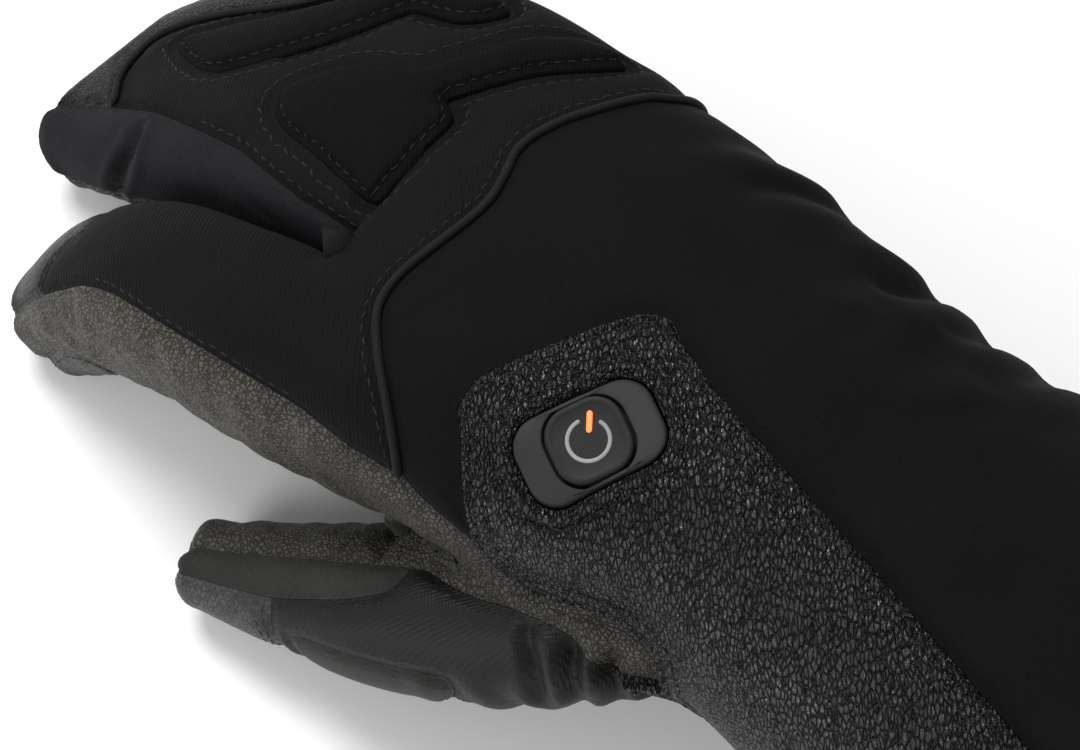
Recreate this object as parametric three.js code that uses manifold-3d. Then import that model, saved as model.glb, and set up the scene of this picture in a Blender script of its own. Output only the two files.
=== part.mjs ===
// Heated glove for the right hand, lying palm down on a flat surface.
// Millimetres. +X runs from the fingertips to the cuff, +Y to the little finger, +Z up.
import * as THREE from 'three';
import { mergeVertices } from 'three/addons/utils/BufferGeometryUtils.js';
import Module from 'manifold-3d';

// ---------------------------------------------------------------- driving dimensions
const WALL_BACK = 5.0;      // shell, filling and lining on the back of the hand
const WALL_SIDE = 4.5;      // the same along both edges
const WALL_PALM = 4.2;      // leather, filling and lining in the palm
const WALL_REST = 1.6;      // what stays of the wall where it is pressed flat
const SEAM = 0.3;           // gap at a seam
const LAY = 0.45;           // gap under a pad or a patch
const PANEL_LIFT = 1.9;     // height of the raised pads and of the patch over the shell
const REST_ROLL = -12.58;   // how the glove lies: turned about its length, degrees
const REST_PITCH = -3.01;   // and about its width
const REST_LIFT = 50.67;    // height of the knuckles' axis over the surface

const PIPING_RADIUS = 1.0;
const BEZEL = { length: 30, width: 19, corner: 6.5, thick: 3.4, sunk: 2.0 };
const BUTTON = { side: 16.5, corner: 6, thick: 1.6, proud: 0.4, gap: 0.5, travel: 0.8 };
const POCKET_DEPTH = 2.3;
const RING = { radius: 4.3, width: 1.1, depth: 0.5, gap_deg: 64 };
const BAR = { length: 4.4, width: 1.1 };

// ---------------------------------------------------------------- section tables
// each row is one section of the glove across its length, fingertip end or cuff end last
// columns: x, y, z of the middle, half width, height above, height below, squareness, skew in degrees
const HAND = [
  [-17, 5, 1, 48, 17.5, 25, 2.6, 0],
  [-5, 3.3, 1, 52.2, 20.8, 32.5, 2.6, 0],
  [9, 2, 1, 54.5, 23, 35, 2.5, 0],
  [32, 1, 0, 55, 26, 34, 2.4, 0],
  [57, 1, -2, 52.5, 27.5, 32, 2.3, 0],
  [81, 0, -4.5, 48, 29.5, 31.5, 2.2, 0],
  [103, -2, -8.5, 49, 31.5, 32, 2.2, 0],
  [133.5, -4.5, -14, 52.5, 35, 35, 2.2, 0],
  [170, -9, -21, 56, 38.5, 37.5, 2.2, 0],
  [198, -13, -26.5, 57, 39.5, 38.5, 2.2, 0],
];
const INDEX = [
  [36, -30, 0, 13, 15, 26, 2.3, 0],
  [13, -34, 2, 17.5, 18.5, 37, 2.3, 0],
  [-9, -36, 2, 18.5, 18.5, 37.5, 2.3, 0],
  [-32, -37.5, -1, 18.5, 18.5, 34, 2.3, 0],
  [-55, -37.5, -10, 17.5, 18.5, 26.5, 2.3, 0],
  [-75.5, -37.5, -27.5, 16, 15, 21, 2.3, 0],
  [-90, -38.5, -45.5, 13.5, 11.5, 17, 2.3, 0],
];
const MITTEN = [
  [36, 14, 0, 30, 14, 20, 3, 0],
  [13, 20.5, 1, 35.5, 17.5, 23, 3, 0],
  [-9, 21.5, 1, 37.5, 18.5, 24, 3, 0],
  [-33, 22, -1, 37.5, 17.5, 20, 3, 4],
  [-58, 21, -7.5, 37, 15.5, 16.5, 3.2, 12],
  [-81.5, 17.3, -18, 34.3, 14, 15, 3.4, 23],
  [-103.5, 9.5, -31, 26, 13, 12, 3.8, 33],
];
const THUMB = [
  [92, -22, -14, 20, 15, 17, 2.2, 0],
  [66, -33, -20, 24, 20, 20, 2.2, 0],
  [44, -48.5, -31, 21, 16.5, 16.5, 2.2, 0],
  [22, -57.5, -39.8, 18.5, 14.8, 14.2, 2.2, 0],
  [0, -63, -47.5, 14.6, 11.8, 11.3, 2.2, 0],
  [-24.5, -68.5, -55, 10, 8, 7, 2.2, 0],
];

// seams that run along a finger or the hand: place along its section table,
// then the first and the last angle round the section (0 little finger side, 90 back, 180 index side, 270 palm)
const CUT = {
  thumb_cap: [[4.08, 131, 300], [4.6, 134, 300], [5.6, 138, 300]],
  thumb_side: [[2.7, 91, 96], [2.84, 90, 110], [3.23, 89, 118], [3.64, 89, 124], [4.07, 90, 131], [5.6, 96, 138]],
  thumb_palm: [[3.05, -60, 89], [4.07, -60, 90], [5.6, -60, 96]],
  nose_wipe: [[2.3, 172, 190], [2.5, 168, 226], [3.2, 164, 232], [3.7, 163, 226], [3.9, 168, 190]],
  palm_thumb: [[0.6, -32, 178], [1.03, -32, 176], [1.36, -32, 147], [1.76, -32, 125], [2, -32, 115], [2.52, -32, 93], [2.72, -32, 91], [3.04, -32, 89]],
  thumb_base: [[0.1, 176, 340], [1.03, 172, 340], [1.36, 140, 340], [1.76, 115, 340], [2.3, 90, 340], [5.6, 60, 340]],
  palm_hand: [[0, 170, 350], [2.66, 163, 352], [3.26, 175, 352], [3.86, 191, 352], [5.35, 188, 352]],
  palm_index: [[0.5, 205, 318], [1, 163, 318], [1.29, 163, 318], [1.81, 154, 318], [2.33, 149, 318], [2.83, 145, 318], [3.3, 141, 316],
    [3.83, 136, 316], [4.22, 135, 318], [4.55, 138, 320], [5.13, 139, 322], [6.6, 140, 325]],
  palm_mitten: [[1, 205, 338], [3.2, 205, 338], [4.78, 203, 340], [5.56, 205, 342], [6.6, 200, 344]],
  touch_tip: [[4.78, 204, 216], [5.1, 194, 236], [5.6, 192, 246], [6.1, 198, 240], [6.6, 206, 226]],
  index_cap: [[4.62, 80, 92], [4.74, 42, 96], [4.92, 12, 113], [5.02, -20, 140], [6.6, -30, 140]],
  mitten_side: [[1.72, 152, 205], [2.3, 148, 205], [2.99, 145, 205], [3.68, 134, 204], [4.13, 131, 203], [4.64, 127, 203], [5.26, 125, 204], [6.6, 124, 200]],
  mitten_back: [[3.4, -16, 145], [4.13, -18, 131], [5.26, -18, 125], [6.6, -16, 124]],
  gauntlet_under: [[5.35, 188, 352], [9.2, 196, 352]],
  cuff_hem: [[8.74, 0, 360], [9.2, 0, 360]],
  patch_side: [[2.2, 60, 204], [8.66, 60, 204]],
};

// outlines seen from above the back of the hand, columns x, y
const PIPED_SEAM = [
  [21, -51.8], [14.5, -45.5], [6, -37.5], [-0.5, -29.2], [-1.8, -21], [0, -12.3], [2.2, -3], [3, 4.3],
  [1.7, 11.2], [-0.2, 18.8], [2.2, 28], [7, 37.2], [12.6, 47.3], [16.5, 51.5],
];
const CAP_SEAM = [
  [-96.6, -9], [-98.6, -4.5], [-103.7, 3.2], [-105, 11.7], [-103.8, 16.9], [-98.7, 21.6], [-89.4, 26], [-81.4, 28.8],
  [-72, 33], [-63, 40], [-57, 50], [-55, 66],
];
const KNUCKLE_PAD = [
  [-55.6, 3.6], [-57.3, 8.4], [-55.5, 12.2], [-50.9, 17.2], [-44.8, 22], [-37, 24.5], [-32, 27], [-29.2, 30.5],
  [-24.4, 36.6], [-19.4, 44.3], [-11, 51.5], [-3, 54.5], [2.5, 53], [-2.2, 46.2], [-9.8, 38.6], [-15.2, 31.7], [-19.8, 25.3],
  [-22, 21.8], [-17.5, 17.9], [-18.3, 8.3], [-18.9, 0.2], [-20.1, -6.5], [-30.2, -5], [-40.7, -2.4], [-49.4, -0.4],
];
const FINGER_PAD = [
  [-95, 13.8], [-94.3, 16.9], [-85.8, 22], [-75, 28], [-64, 36], [-55, 45.5], [-44, 52], [-33, 54], [-27, 50.6],
  [-29, 45.8], [-33.5, 41.8], [-38.4, 40.6], [-44.9, 40], [-47.6, 37.6], [-54.3, 28.3], [-62.3, 20.3], [-74.4, 10.4], [-79, 8.6], [-85.1, 9.2],
];
// outline of the leather patch seen from the index side and above: x, and height across that view
const PATCH_VIEW = { back: 0.6, up: 0.8 };
const PATCH = [
  [26.4, -18], [26.3, -11], [29.5, -6.3], [35.8, 2.5], [40.5, 8.6], [45, 13.6], [48.4, 15.6], [52.4, 15.8], [55.6, 13.6],
  [69.2, 8.7], [84.3, 4.5], [98.7, 0.3], [112.9, -3.8], [127.1, -8], [141.1, -12.3], [154.8, -16.5], [208, -33],
  [208, -90], [100, -90], [84, -62], [71.9, -49.8], [55.5, -46.2], [41, -40.3], [36.4, -33.3], [30.9, -23.5],
];
// switch: middle, direction of its length, direction out of the glove
const SWITCH = { at: [53.4, -29.9, 22.2], along: [0.52, 0.82, 0.22], out: [0.07, -0.3, 0.95] };

// ---------------------------------------------------------------- colours
const FABRIC = 0x1b1c1c, FABRIC_INDEX = 0x232325, SIDE_FABRIC = 0x2e2d31, PALM = 0x55504a, CAP = 0x3b3c3e;
const THUMB_CAP = 0x5e5f5f, THUMB_LEATHER = 0x55524e, STRIP = 0x2f2e2b, WIPE = 0x34342f, PATCH_LEATHER = 0x2c2d2e;

// ---------------------------------------------------------------- solid modelling helpers
const wasm = await Module();
wasm.setup();

const PLACE = new THREE.Matrix4().makeTranslation(0, 0, REST_LIFT)
  .multiply(new THREE.Matrix4().makeRotationY(THREE.MathUtils.degToRad(REST_PITCH)))
  .multiply(new THREE.Matrix4().makeRotationX(THREE.MathUtils.degToRad(REST_ROLL)));

function solid(geometry) {
  const g = geometry.clone();
  g.deleteAttribute('normal');
  g.deleteAttribute('uv');
  const m = mergeVertices(g, 1e-4);
  const make = (flip) => {
    const tri = Uint32Array.from(m.index.array);
    if (flip) for (let i = 0; i < tri.length; i += 3) [tri[i], tri[i + 1]] = [tri[i + 1], tri[i]];
    return new wasm.Manifold(new wasm.Mesh({ numProp: 3, vertProperties: Float32Array.from(m.attributes.position.array), triVerts: tri }));
  };
  const s = make(false);
  return s.volume() < 0 ? make(true) : s;
}

// closed skin over a list of equal rings of points
function skin(rings) {
  const n = rings[0].length;
  const pos = [];
  for (const r of rings) for (const p of r) pos.push(p.x, p.y, p.z);
  const middle = (r) => r.reduce((a, p) => a.add(p), new THREE.Vector3()).divideScalar(r.length);
  const a = middle(rings[0]), b = middle(rings[rings.length - 1]);
  pos.push(a.x, a.y, a.z, b.x, b.y, b.z);
  const ia = rings.length * n, ib = ia + 1, last = (rings.length - 1) * n;
  const idx = [];
  for (let i = 0; i < n; i++) {
    const j = (i + 1) % n;
    for (let k = 0; k < rings.length - 1; k++) {
      const p = k * n + i, q = k * n + j, u = p + n, v = q + n;
      idx.push(p, u, q, q, u, v);
    }
    idx.push(ia, i, j, ib, last + j, last + i);
  }
  const g = new THREE.BufferGeometry();
  g.setAttribute('position', new THREE.Float32BufferAttribute(pos, 3));
  g.setIndex(idx);
  g.applyMatrix4(PLACE);
  return solid(g);
}

// smooth value of every column of a table at place s
function row(table, s) {
  const last = table.length - 1;
  const i = Math.min(Math.max(Math.floor(s), 0), last - 1);
  const t = s - i;
  const get = (k) => {
    if (k < 0) return table[0].map((v, c) => 2 * v - table[1][c]);
    if (k > last) return table[last].map((v, c) => 2 * v - table[last - 1][c]);
    return table[k];
  };
  const [a, b, c, d] = [get(i - 1), get(i), get(i + 1), get(i + 2)];
  return b.map((v, k) => (t < 0 || t > 1)
    ? v + (c[k] - v) * t
    : 0.5 * (2 * v + (c[k] - a[k]) * t + (2 * a[k] - 5 * v + 4 * c[k] - d[k]) * t * t + (3 * v - a[k] - 3 * c[k] + d[k]) * t ** 3));
}

// a section of a tube: middle, its two directions and its sizes
function section(table, s, thin = [0, 0, 0]) {
  const r = row(table, s), f = row(table, s + 0.12), b = row(table, s - 0.12);
  const along = new THREE.Vector3(f[0] - b[0], f[1] - b[1], f[2] - b[2]).normalize();
  const y = new THREE.Vector3(0, 1, 0);
  const wide = y.clone().addScaledVector(along, -along.dot(y)).normalize();
  const high = new THREE.Vector3().crossVectors(along, wide);
  if (high.z < 0) high.negate();
  const skew = THREE.MathUtils.degToRad(r[7]);
  wide.multiplyScalar(Math.cos(skew)).addScaledVector(along, -Math.sin(skew));
  return { mid: new THREE.Vector3(r[0], r[1], r[2]), along, wide, high, half: r[3] - thin[0], back: r[4] - thin[1], palm: r[5] - thin[2], square: r[6] };
}

function pointOn(sec, deg) {
  const c = Math.cos(THREE.MathUtils.degToRad(deg)), s = Math.sin(THREE.MathUtils.degToRad(deg));
  const k = (Math.abs(c) ** sec.square + Math.abs(s) ** sec.square) ** (-1 / sec.square);
  return sec.mid.clone().addScaledVector(sec.wide, sec.half * c * k).addScaledVector(sec.high, (s >= 0 ? sec.back : sec.palm) * s * k);
}

// a tube along a section table; the tip is closed by a rounded end
function tube(table, { from = 0, to = table.length - 1, per = 1.5, around, thin = [0, 0, 0], tip = true, reach = 0 }) {
  const stations = [];
  const n = Math.round((to - Math.max(from, 0)) * per);
  for (let i = 0; i <= n; i++) stations.push(section(table, from + (to - from) * i / n, thin));
  if (tip) {
    const e = stations[stations.length - 1];
    const depth = Math.min(e.back, e.palm) * 0.95;
    for (const f of [0.45, 0.76, 0.95]) {
      const k = Math.sqrt(1 - f * f);
      stations.push({ ...e, mid: e.mid.clone().addScaledVector(e.along, depth * f), half: e.half - (1 - k) * Math.min(e.half, depth), back: e.back * k, palm: e.palm * k });
    }
  } else if (reach) {
    const e = stations[stations.length - 1];
    stations.push({ ...e, mid: e.mid.clone().addScaledVector(e.along, reach) });
  }
  return skin(stations.map((sec) => Array.from({ length: around }, (_, i) => pointOn(sec, 360 * i / around))));
}

// the part of a tube between two angles, from its middle outwards, for cutting along seams
function sector(table, cut, { pad = 0, out = 2, fine = 1, step = 12 }) {
  const rows = cut.map((r) => [...r]);
  const span = (a, b) => section(table, a).mid.distanceTo(section(table, b).mid) / Math.abs(b - a);
  rows[0][0] -= pad / span(rows[0][0], rows[0][0] + 0.2);
  rows[rows.length - 1][0] += pad / span(rows[rows.length - 1][0] - 0.2, rows[rows.length - 1][0]);
  const stations = [];
  for (let i = 0; i < rows.length - 1; i++) {
    const [a, b] = [rows[i], rows[i + 1]];
    const n = Math.ceil((cut[i + 1][0] - cut[i][0]) * fine);
    for (let k = 0; k < n + (i === rows.length - 2 ? 1 : 0); k++) stations.push(a.map((v, c) => v + (b[c] - v) * k / n));
  }
  const fan = Math.ceil(Math.max(...rows.map((r) => r[2] - r[1])) / step);
  const rings = stations.map(([s, a, b]) => {
    const grown = section(table, s, [-out, -out, -out]);
    const whole = b - a >= 360;
    const open = (pad / Math.min(grown.half, grown.back, grown.palm)) * 57.3;
    const lo = whole ? a : a - open, hi = whole ? b : b + open;
    const pts = Array.from({ length: whole ? fan : fan + 1 }, (_, i) => pointOn(grown, lo + (hi - lo) * i / fan));
    return whole ? pts : [grown.mid.clone(), ...pts];
  });
  return skin(rings);
}

// a straight prism over an outline, in the directions given
function prism(outline, { u = [1, 0, 0], v = [0, 1, 0], w = [0, 0, 1], at = [0, 0, 0], low, high, curve = 4 }) {
  const shape = outline instanceof THREE.Shape ? outline : new THREE.Shape(outline.map(([a, b]) => new THREE.Vector2(a, b)));
  const g = new THREE.ExtrudeGeometry(shape, { depth: high - low, bevelEnabled: false, curveSegments: curve });
  g.translate(0, 0, low);
  const frame = new THREE.Matrix4().makeBasis(new THREE.Vector3(...u).normalize(), new THREE.Vector3(...v).normalize(), new THREE.Vector3(...w).normalize());
  frame.setPosition(...at);
  g.applyMatrix4(frame);
  g.applyMatrix4(PLACE);
  return solid(g);
}

function outset(outline, d) {
  const n = outline.length;
  const area = outline.reduce((s, p, i) => s + p[0] * outline[(i + 1) % n][1] - outline[(i + 1) % n][0] * p[1], 0);
  return outline.map((p, i) => {
    const a = outline[(i + n - 1) % n], b = outline[(i + 1) % n];
    const e1 = new THREE.Vector2(p[0] - a[0], p[1] - a[1]).normalize(), e2 = new THREE.Vector2(b[0] - p[0], b[1] - p[1]).normalize();
    const m = new THREE.Vector2(e1.y + e2.y, -e1.x - e2.x).normalize();
    const k = d / Math.max(0.5, m.x * e1.y - m.y * e1.x) * Math.sign(area);
    return [p[0] + m.x * k, p[1] + m.y * k];
  });
}

function roundedRectangle(length, width, corner) {
  const x = length / 2, y = width / 2, s = new THREE.Shape();
  s.moveTo(-x + corner, -y).lineTo(x - corner, -y).quadraticCurveTo(x, -y, x, -y + corner).lineTo(x, y - corner)
    .quadraticCurveTo(x, y, x - corner, y).lineTo(-x + corner, y).quadraticCurveTo(-x, y, -x, y - corner)
    .lineTo(-x, -y + corner).quadraticCurveTo(-x, -y, -x + corner, -y);
  return s;
}

const largest = (s) => s.decompose().sort((a, b) => b.volume() - a.volume())[0];
const TIDY = 0.12;          // edges that leave the surface by less than this are merged
const tidy = (s) => largest(largest(s).asOriginal().simplify(TIDY));

// ---------------------------------------------------------------- the hollow glove
const AROUND = { hand: 24, index: 16, mitten: 20, thumb: 14 };
const INSIDE = { hand: 16, index: 10, mitten: 14, thumb: 8 };
const outside = (grow) => tube(HAND, { around: AROUND.hand, from: -grow / (HAND[1][0] - HAND[0][0]), thin: [-grow, -grow, -grow], tip: false })
  .add(tube(INDEX, { around: AROUND.index, thin: [-grow, -grow, -grow] }))
  .add(tube(MITTEN, { around: AROUND.mitten, thin: [-grow, -grow, -grow] }))
  .add(tube(THUMB, { around: AROUND.thumb, thin: [-grow, -grow, -grow] }));
const LINING = [WALL_SIDE, WALL_BACK, WALL_PALM];
const hollow = tube(HAND, { around: INSIDE.hand, per: 1, thin: LINING, from: 0.3, tip: false, reach: 12 })
  .add(tube(INDEX, { around: INSIDE.index, per: 1, thin: LINING }))
  .add(tube(MITTEN, { around: INSIDE.mitten, per: 1, thin: LINING }))
  .add(tube(THUMB, { around: INSIDE.thumb, per: 1, thin: LINING }));
const above = (z) => {
  const g = new THREE.BoxGeometry(500, 300, 200);
  g.translate(50, 0, z + 100);
  return solid(g);
};
const body = outside(0).intersect(above(0));
let shell = body.subtract(hollow.intersect(above(WALL_REST)));

const pieces = [];
function keep(name, piece, colour, roughness, metalness = 0, extra = {}) {
  pieces.push({ name, piece: tidy(piece), colour, roughness, metalness, extra });
}
// takes a piece out of the shell and leaves the gap of a seam round it
function take(name, make, colour, roughness) {
  keep(name, shell.intersect(make(0)), colour, roughness);
  shell = shell.subtract(make(SEAM));
}
const part = (table, name) => (pad) => sector(table, CUT[name], { pad, out: 2 + pad });

// ---------------------------------------------------------------- panels of the thumb
take('thumb_cap', part(THUMB, 'thumb_cap'), THUMB_CAP, 0.6);
take('thumb_side', part(THUMB, 'thumb_side'), STRIP, 0.8);
take('thumb_palm', part(THUMB, 'thumb_palm'), THUMB_LEATHER, 0.6);
take('nose_wipe', part(THUMB, 'nose_wipe'), WIPE, 0.95);

// ---------------------------------------------------------------- panels of the fingers and the palm
take('touch_tip', part(INDEX, 'touch_tip'), CAP, 0.5);
take('index_cap', part(INDEX, 'index_cap'), CAP, 0.55);
take('cuff_hem', part(HAND, 'cuff_hem'), FABRIC, 0.85);
take('palm_leather', (pad) => part(HAND, 'palm_hand')(pad).add(part(INDEX, 'palm_index')(pad))
  .add(part(MITTEN, 'palm_mitten')(pad)).add(part(THUMB, 'palm_thumb')(pad)), PALM, 0.62);
take('mitten_side', part(MITTEN, 'mitten_side'), SIDE_FABRIC, 0.8);
const beyondCapSeam = [...CAP_SEAM, [-150, 66], [-150, -9]];
take('mitten_cap', (pad) => prism(outset(beyondCapSeam, pad), { low: -80, high: 60 })
  .intersect(part(MITTEN, 'mitten_back')(pad)), CAP, 0.55);
take('gauntlet_under', part(HAND, 'gauntlet_under'), FABRIC, 0.6);
take('thumb_back', part(THUMB, 'thumb_base'), FABRIC_INDEX, 0.85);
const frontOfPiping = [[-150, -75], [24, -75], [24, -56], ...PIPED_SEAM, [22, 75], [-150, 75]];
const piping = new THREE.CatmullRomCurve3([[24, -54.5], ...PIPED_SEAM, [20, 54]].map(([x, y]) => {
  return new THREE.Vector3(x, y, 0).setComponent(2, surfaceHeight(x, y) + 0.35);
}));

// height of the back of the glove over a point seen from above
function surfaceHeight(x, y) {
  let best = -Infinity;
  for (const [table, last] of [[HAND, HAND.length - 1], [INDEX, INDEX.length - 1]]) {
    for (let s = 0; s <= last; s += 0.1) {
      const a = section(table, s), b = section(table, Math.min(s + 0.1, last));
      const [x0, x1] = [a.mid.x, b.mid.x];
      if ((x - x0) * (x - x1) > 0 || x0 === x1) continue;
      const t = (x - x0) / (x1 - x0);
      const half = a.half + (b.half - a.half) * t, mid = a.mid.y + (b.mid.y - a.mid.y) * t, q = Math.abs(y - mid) / half;
      if (q >= 1) continue;
      const top = a.back + (b.back - a.back) * t, z = a.mid.z + (b.mid.z - a.mid.z) * t;
      best = Math.max(best, z + top * (1 - q ** a.square) ** (1 / a.square));
    }
  }
  return best > -Infinity ? best : 0;
}
const round = (r, n) => new THREE.Shape(Array.from({ length: n }, (_, i) => new THREE.Vector2(r * Math.cos(2 * Math.PI * i / n), r * Math.sin(2 * Math.PI * i / n))));
const cord = (r) => {
  const g = new THREE.ExtrudeGeometry(round(r, 8), { steps: 40, bevelEnabled: false, extrudePath: piping });
  g.applyMatrix4(PLACE);
  return solid(g);
};
keep('piping', cord(PIPING_RADIUS), 0x101112, 0.5);
const groove = cord(PIPING_RADIUS + SEAM);
shell = shell.subtract(groove);
for (const p of pieces) if (p.name !== 'piping' && p.piece.intersect(groove).volume() > 0) p.piece = tidy(p.piece.subtract(groove));

// ---------------------------------------------------------------- raised pads, patch and switch
const raised = outside(PANEL_LIFT).subtract(outside(LAY));
const pad = (outline) => raised.intersect(prism(outline, { low: 0, high: 60 }));
keep('knuckle_pad', pad(KNUCKLE_PAD), FABRIC, 0.85);
keep('finger_pad', pad(FINGER_PAD), FABRIC, 0.85);

const out = new THREE.Vector3(...SWITCH.out).normalize();
const along = new THREE.Vector3(...SWITCH.along);
along.addScaledVector(out, -along.dot(out)).normalize();
const across = new THREE.Vector3().crossVectors(out, along);
const onSwitch = { u: along.toArray(), v: across.toArray(), w: out.toArray(), at: SWITCH.at };
const bezelBody = (grow) => prism(roundedRectangle(BEZEL.length + 2 * grow, BEZEL.width + 2 * grow, BEZEL.corner + grow),
  { ...onSwitch, low: -BEZEL.sunk - grow, high: BEZEL.thick - BEZEL.sunk + (grow ? 8 : 0) });
const bezelTop = BEZEL.thick - BEZEL.sunk;
const pocket = prism(roundedRectangle(BUTTON.side + 2 * BUTTON.gap, BUTTON.side + 2 * BUTTON.gap, BUTTON.corner + BUTTON.gap),
  { ...onSwitch, low: bezelTop - POCKET_DEPTH, high: bezelTop + 5 });
keep('switch_bezel', bezelBody(0).subtract(pocket), 0x2f3130, 0.6);
const buttonTop = bezelTop + BUTTON.proud;
const ringShape = (grow) => {
  const s = new THREE.Shape();
  const a = THREE.MathUtils.degToRad(90 + RING.gap_deg / 2) - grow * 0.2, b = THREE.MathUtils.degToRad(450 - RING.gap_deg / 2) + grow * 0.2;
  s.absarc(0, 0, RING.radius + RING.width / 2 + grow, a, b, false);
  s.absarc(0, 0, RING.radius - RING.width / 2 - grow, b, a, true);
  return s;
};
const turned = (deg) => {
  const c = Math.cos(THREE.MathUtils.degToRad(deg)), s = Math.sin(THREE.MathUtils.degToRad(deg));
  return { ...onSwitch, u: along.clone().multiplyScalar(c).addScaledVector(across, s).toArray(), v: along.clone().multiplyScalar(-s).addScaledVector(across, c).toArray() };
};
const ICON_TURN = -27;      // the symbol stands upright across the switch, degrees
const icon = turned(ICON_TURN);
const barShape = (grow) => roundedRectangle(BAR.width + 2 * grow, BAR.length + 2 * grow, 0.3);
const barAt = (grow) => {
  const at = new THREE.Vector3(...SWITCH.at).addScaledVector(new THREE.Vector3(...icon.v), RING.radius - 0.6);
  return prism(barShape(grow), { ...icon, at: at.toArray(), low: buttonTop - RING.depth - grow, high: buttonTop + 0.15 + (grow ? 3 : 0), curve: 1 });
};
const ringAt = (grow) => prism(ringShape(grow), { ...icon, low: buttonTop - RING.depth - grow, high: buttonTop + 0.15 + (grow ? 3 : 0), curve: 12 });
const button = prism(roundedRectangle(BUTTON.side, BUTTON.side, BUTTON.corner), { ...onSwitch, low: buttonTop - BUTTON.thick, high: buttonTop })
  .subtract(ringAt(SEAM)).subtract(barAt(SEAM));
keep('power_button', button, 0x1e1f1e, 0.55);
keep('power_ring', ringAt(0), 0x9b9b9b, 0.5);
keep('power_light', barAt(0), 0xfa6e3c, 0.4, 0, { emissive: 0xff4a10, emissiveIntensity: 0.8 });

const patchOut = [0, -PATCH_VIEW.back, PATCH_VIEW.up], patchUp = [0, PATCH_VIEW.up, PATCH_VIEW.back];
const patch = raised.intersect(prism(PATCH, { u: [1, 0, 0], v: patchUp, w: patchOut, low: -20, high: 90 }))
  .intersect(sector(HAND, CUT.patch_side, { out: 8 })).subtract(bezelBody(SEAM));
keep('cuff_patch', patch, PATCH_LEATHER, 0.55);
shell = shell.subtract(bezelBody(SEAM));

// ---------------------------------------------------------------- back of the glove
take('knuckle_panel', (p) => prism(outset(frontOfPiping, p), { low: -80, high: 60 }), FABRIC, 0.85);
keep('back_panel', shell, FABRIC, 0.85);

// ---------------------------------------------------------------- the finished glove
const box = new THREE.Box3();
for (const p of pieces) {
  const b = p.piece.boundingBox();
  box.expandByPoint(new THREE.Vector3(...b.min)).expandByPoint(new THREE.Vector3(...b.max));
}
const middle = box.getCenter(new THREE.Vector3());
const glove = new THREE.Group();
glove.name = 'heated_glove';
for (const { name, piece, colour, roughness, metalness, extra } of pieces) {
  const m = piece.getMesh();
  const g = new THREE.BufferGeometry();
  const pos = Float32Array.from(m.vertProperties);
  g.setAttribute('position', new THREE.BufferAttribute(pos, 3));
  g.setIndex(Array.from(m.triVerts));
  g.translate(-middle.x, -middle.y, -box.min.z);
  g.computeVertexNormals();
  const mesh = new THREE.Mesh(g, new THREE.MeshStandardMaterial({ color: colour, roughness, metalness, ...extra }));
  mesh.name = name;
  glove.add(mesh);
}
export default glove;
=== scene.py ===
import math
import bpy
import bmesh
import numpy as np
from mathutils import Matrix, Vector, kdtree


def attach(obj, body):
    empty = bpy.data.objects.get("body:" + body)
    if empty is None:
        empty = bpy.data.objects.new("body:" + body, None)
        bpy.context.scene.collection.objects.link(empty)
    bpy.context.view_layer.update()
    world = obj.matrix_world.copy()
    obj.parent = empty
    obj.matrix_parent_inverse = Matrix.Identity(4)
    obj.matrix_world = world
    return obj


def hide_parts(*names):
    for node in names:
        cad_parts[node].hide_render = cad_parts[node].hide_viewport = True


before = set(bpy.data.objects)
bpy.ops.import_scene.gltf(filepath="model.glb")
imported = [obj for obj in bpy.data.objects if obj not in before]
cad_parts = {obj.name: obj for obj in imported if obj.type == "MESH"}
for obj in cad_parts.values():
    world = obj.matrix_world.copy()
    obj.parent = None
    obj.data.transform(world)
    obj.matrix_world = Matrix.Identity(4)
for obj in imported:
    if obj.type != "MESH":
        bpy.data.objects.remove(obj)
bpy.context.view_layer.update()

# ------------------------------------------------------------------ sizes, millimetres
ROLL, PITCH, LIFT = -12.58, -3.01, 50.67   # how the glove lies
SHIFT = (-46.370, 14.696, 0.0)             # to the middle of its box
VOXEL = 1.25                               # mesh size of the skin

HAND = [
    [-17, 5, 1, 48, 17.5, 25, 2.6, 0], [-5, 3.3, 1, 52.2, 20.8, 32.5, 2.6, 0], [9, 2, 1, 54.5, 23, 35, 2.5, 0],
    [32, 1, 0, 55, 26, 34, 2.4, 0], [57, 1, -2, 52.5, 27.5, 32, 2.3, 0], [81, 0, -4.5, 48, 29.5, 31.5, 2.2, 0],
    [103, -2, -8.5, 49, 31.5, 32, 2.2, 0], [133.5, -4.5, -14, 52.5, 35, 35, 2.2, 0],
    [170, -9, -21, 56, 38.5, 37.5, 2.2, 0], [198, -13, -26.5, 57, 39.5, 38.5, 2.2, 0],
]
INDEX = [
    [36, -30, 0, 13, 15, 26, 2.3, 0], [13, -34, 2, 17.5, 18.5, 37, 2.3, 0], [-9, -36, 2, 18.5, 18.5, 37.5, 2.3, 0],
    [-32, -37.5, -1, 18.5, 18.5, 34, 2.3, 0], [-55, -37.5, -10, 17.5, 18.5, 26.5, 2.3, 0],
    [-75.5, -37.5, -27.5, 16, 15, 21, 2.3, 0], [-90, -38.5, -45.5, 13.5, 11.5, 17, 2.3, 0],
]
MITTEN = [
    [36, 14, 0, 30, 14, 20, 3, 0], [13, 20.5, 1, 35.5, 17.5, 23, 3, 0], [-9, 21.5, 1, 37.5, 18.5, 24, 3, 0],
    [-33, 22, -1, 37.5, 17.5, 20, 3, 4], [-58, 21, -7.5, 37, 15.5, 16.5, 3.2, 12],
    [-81.5, 17.3, -18, 34.3, 14, 15, 3.4, 23], [-103.5, 9.5, -31, 26, 13, 12, 3.8, 33],
]
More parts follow.
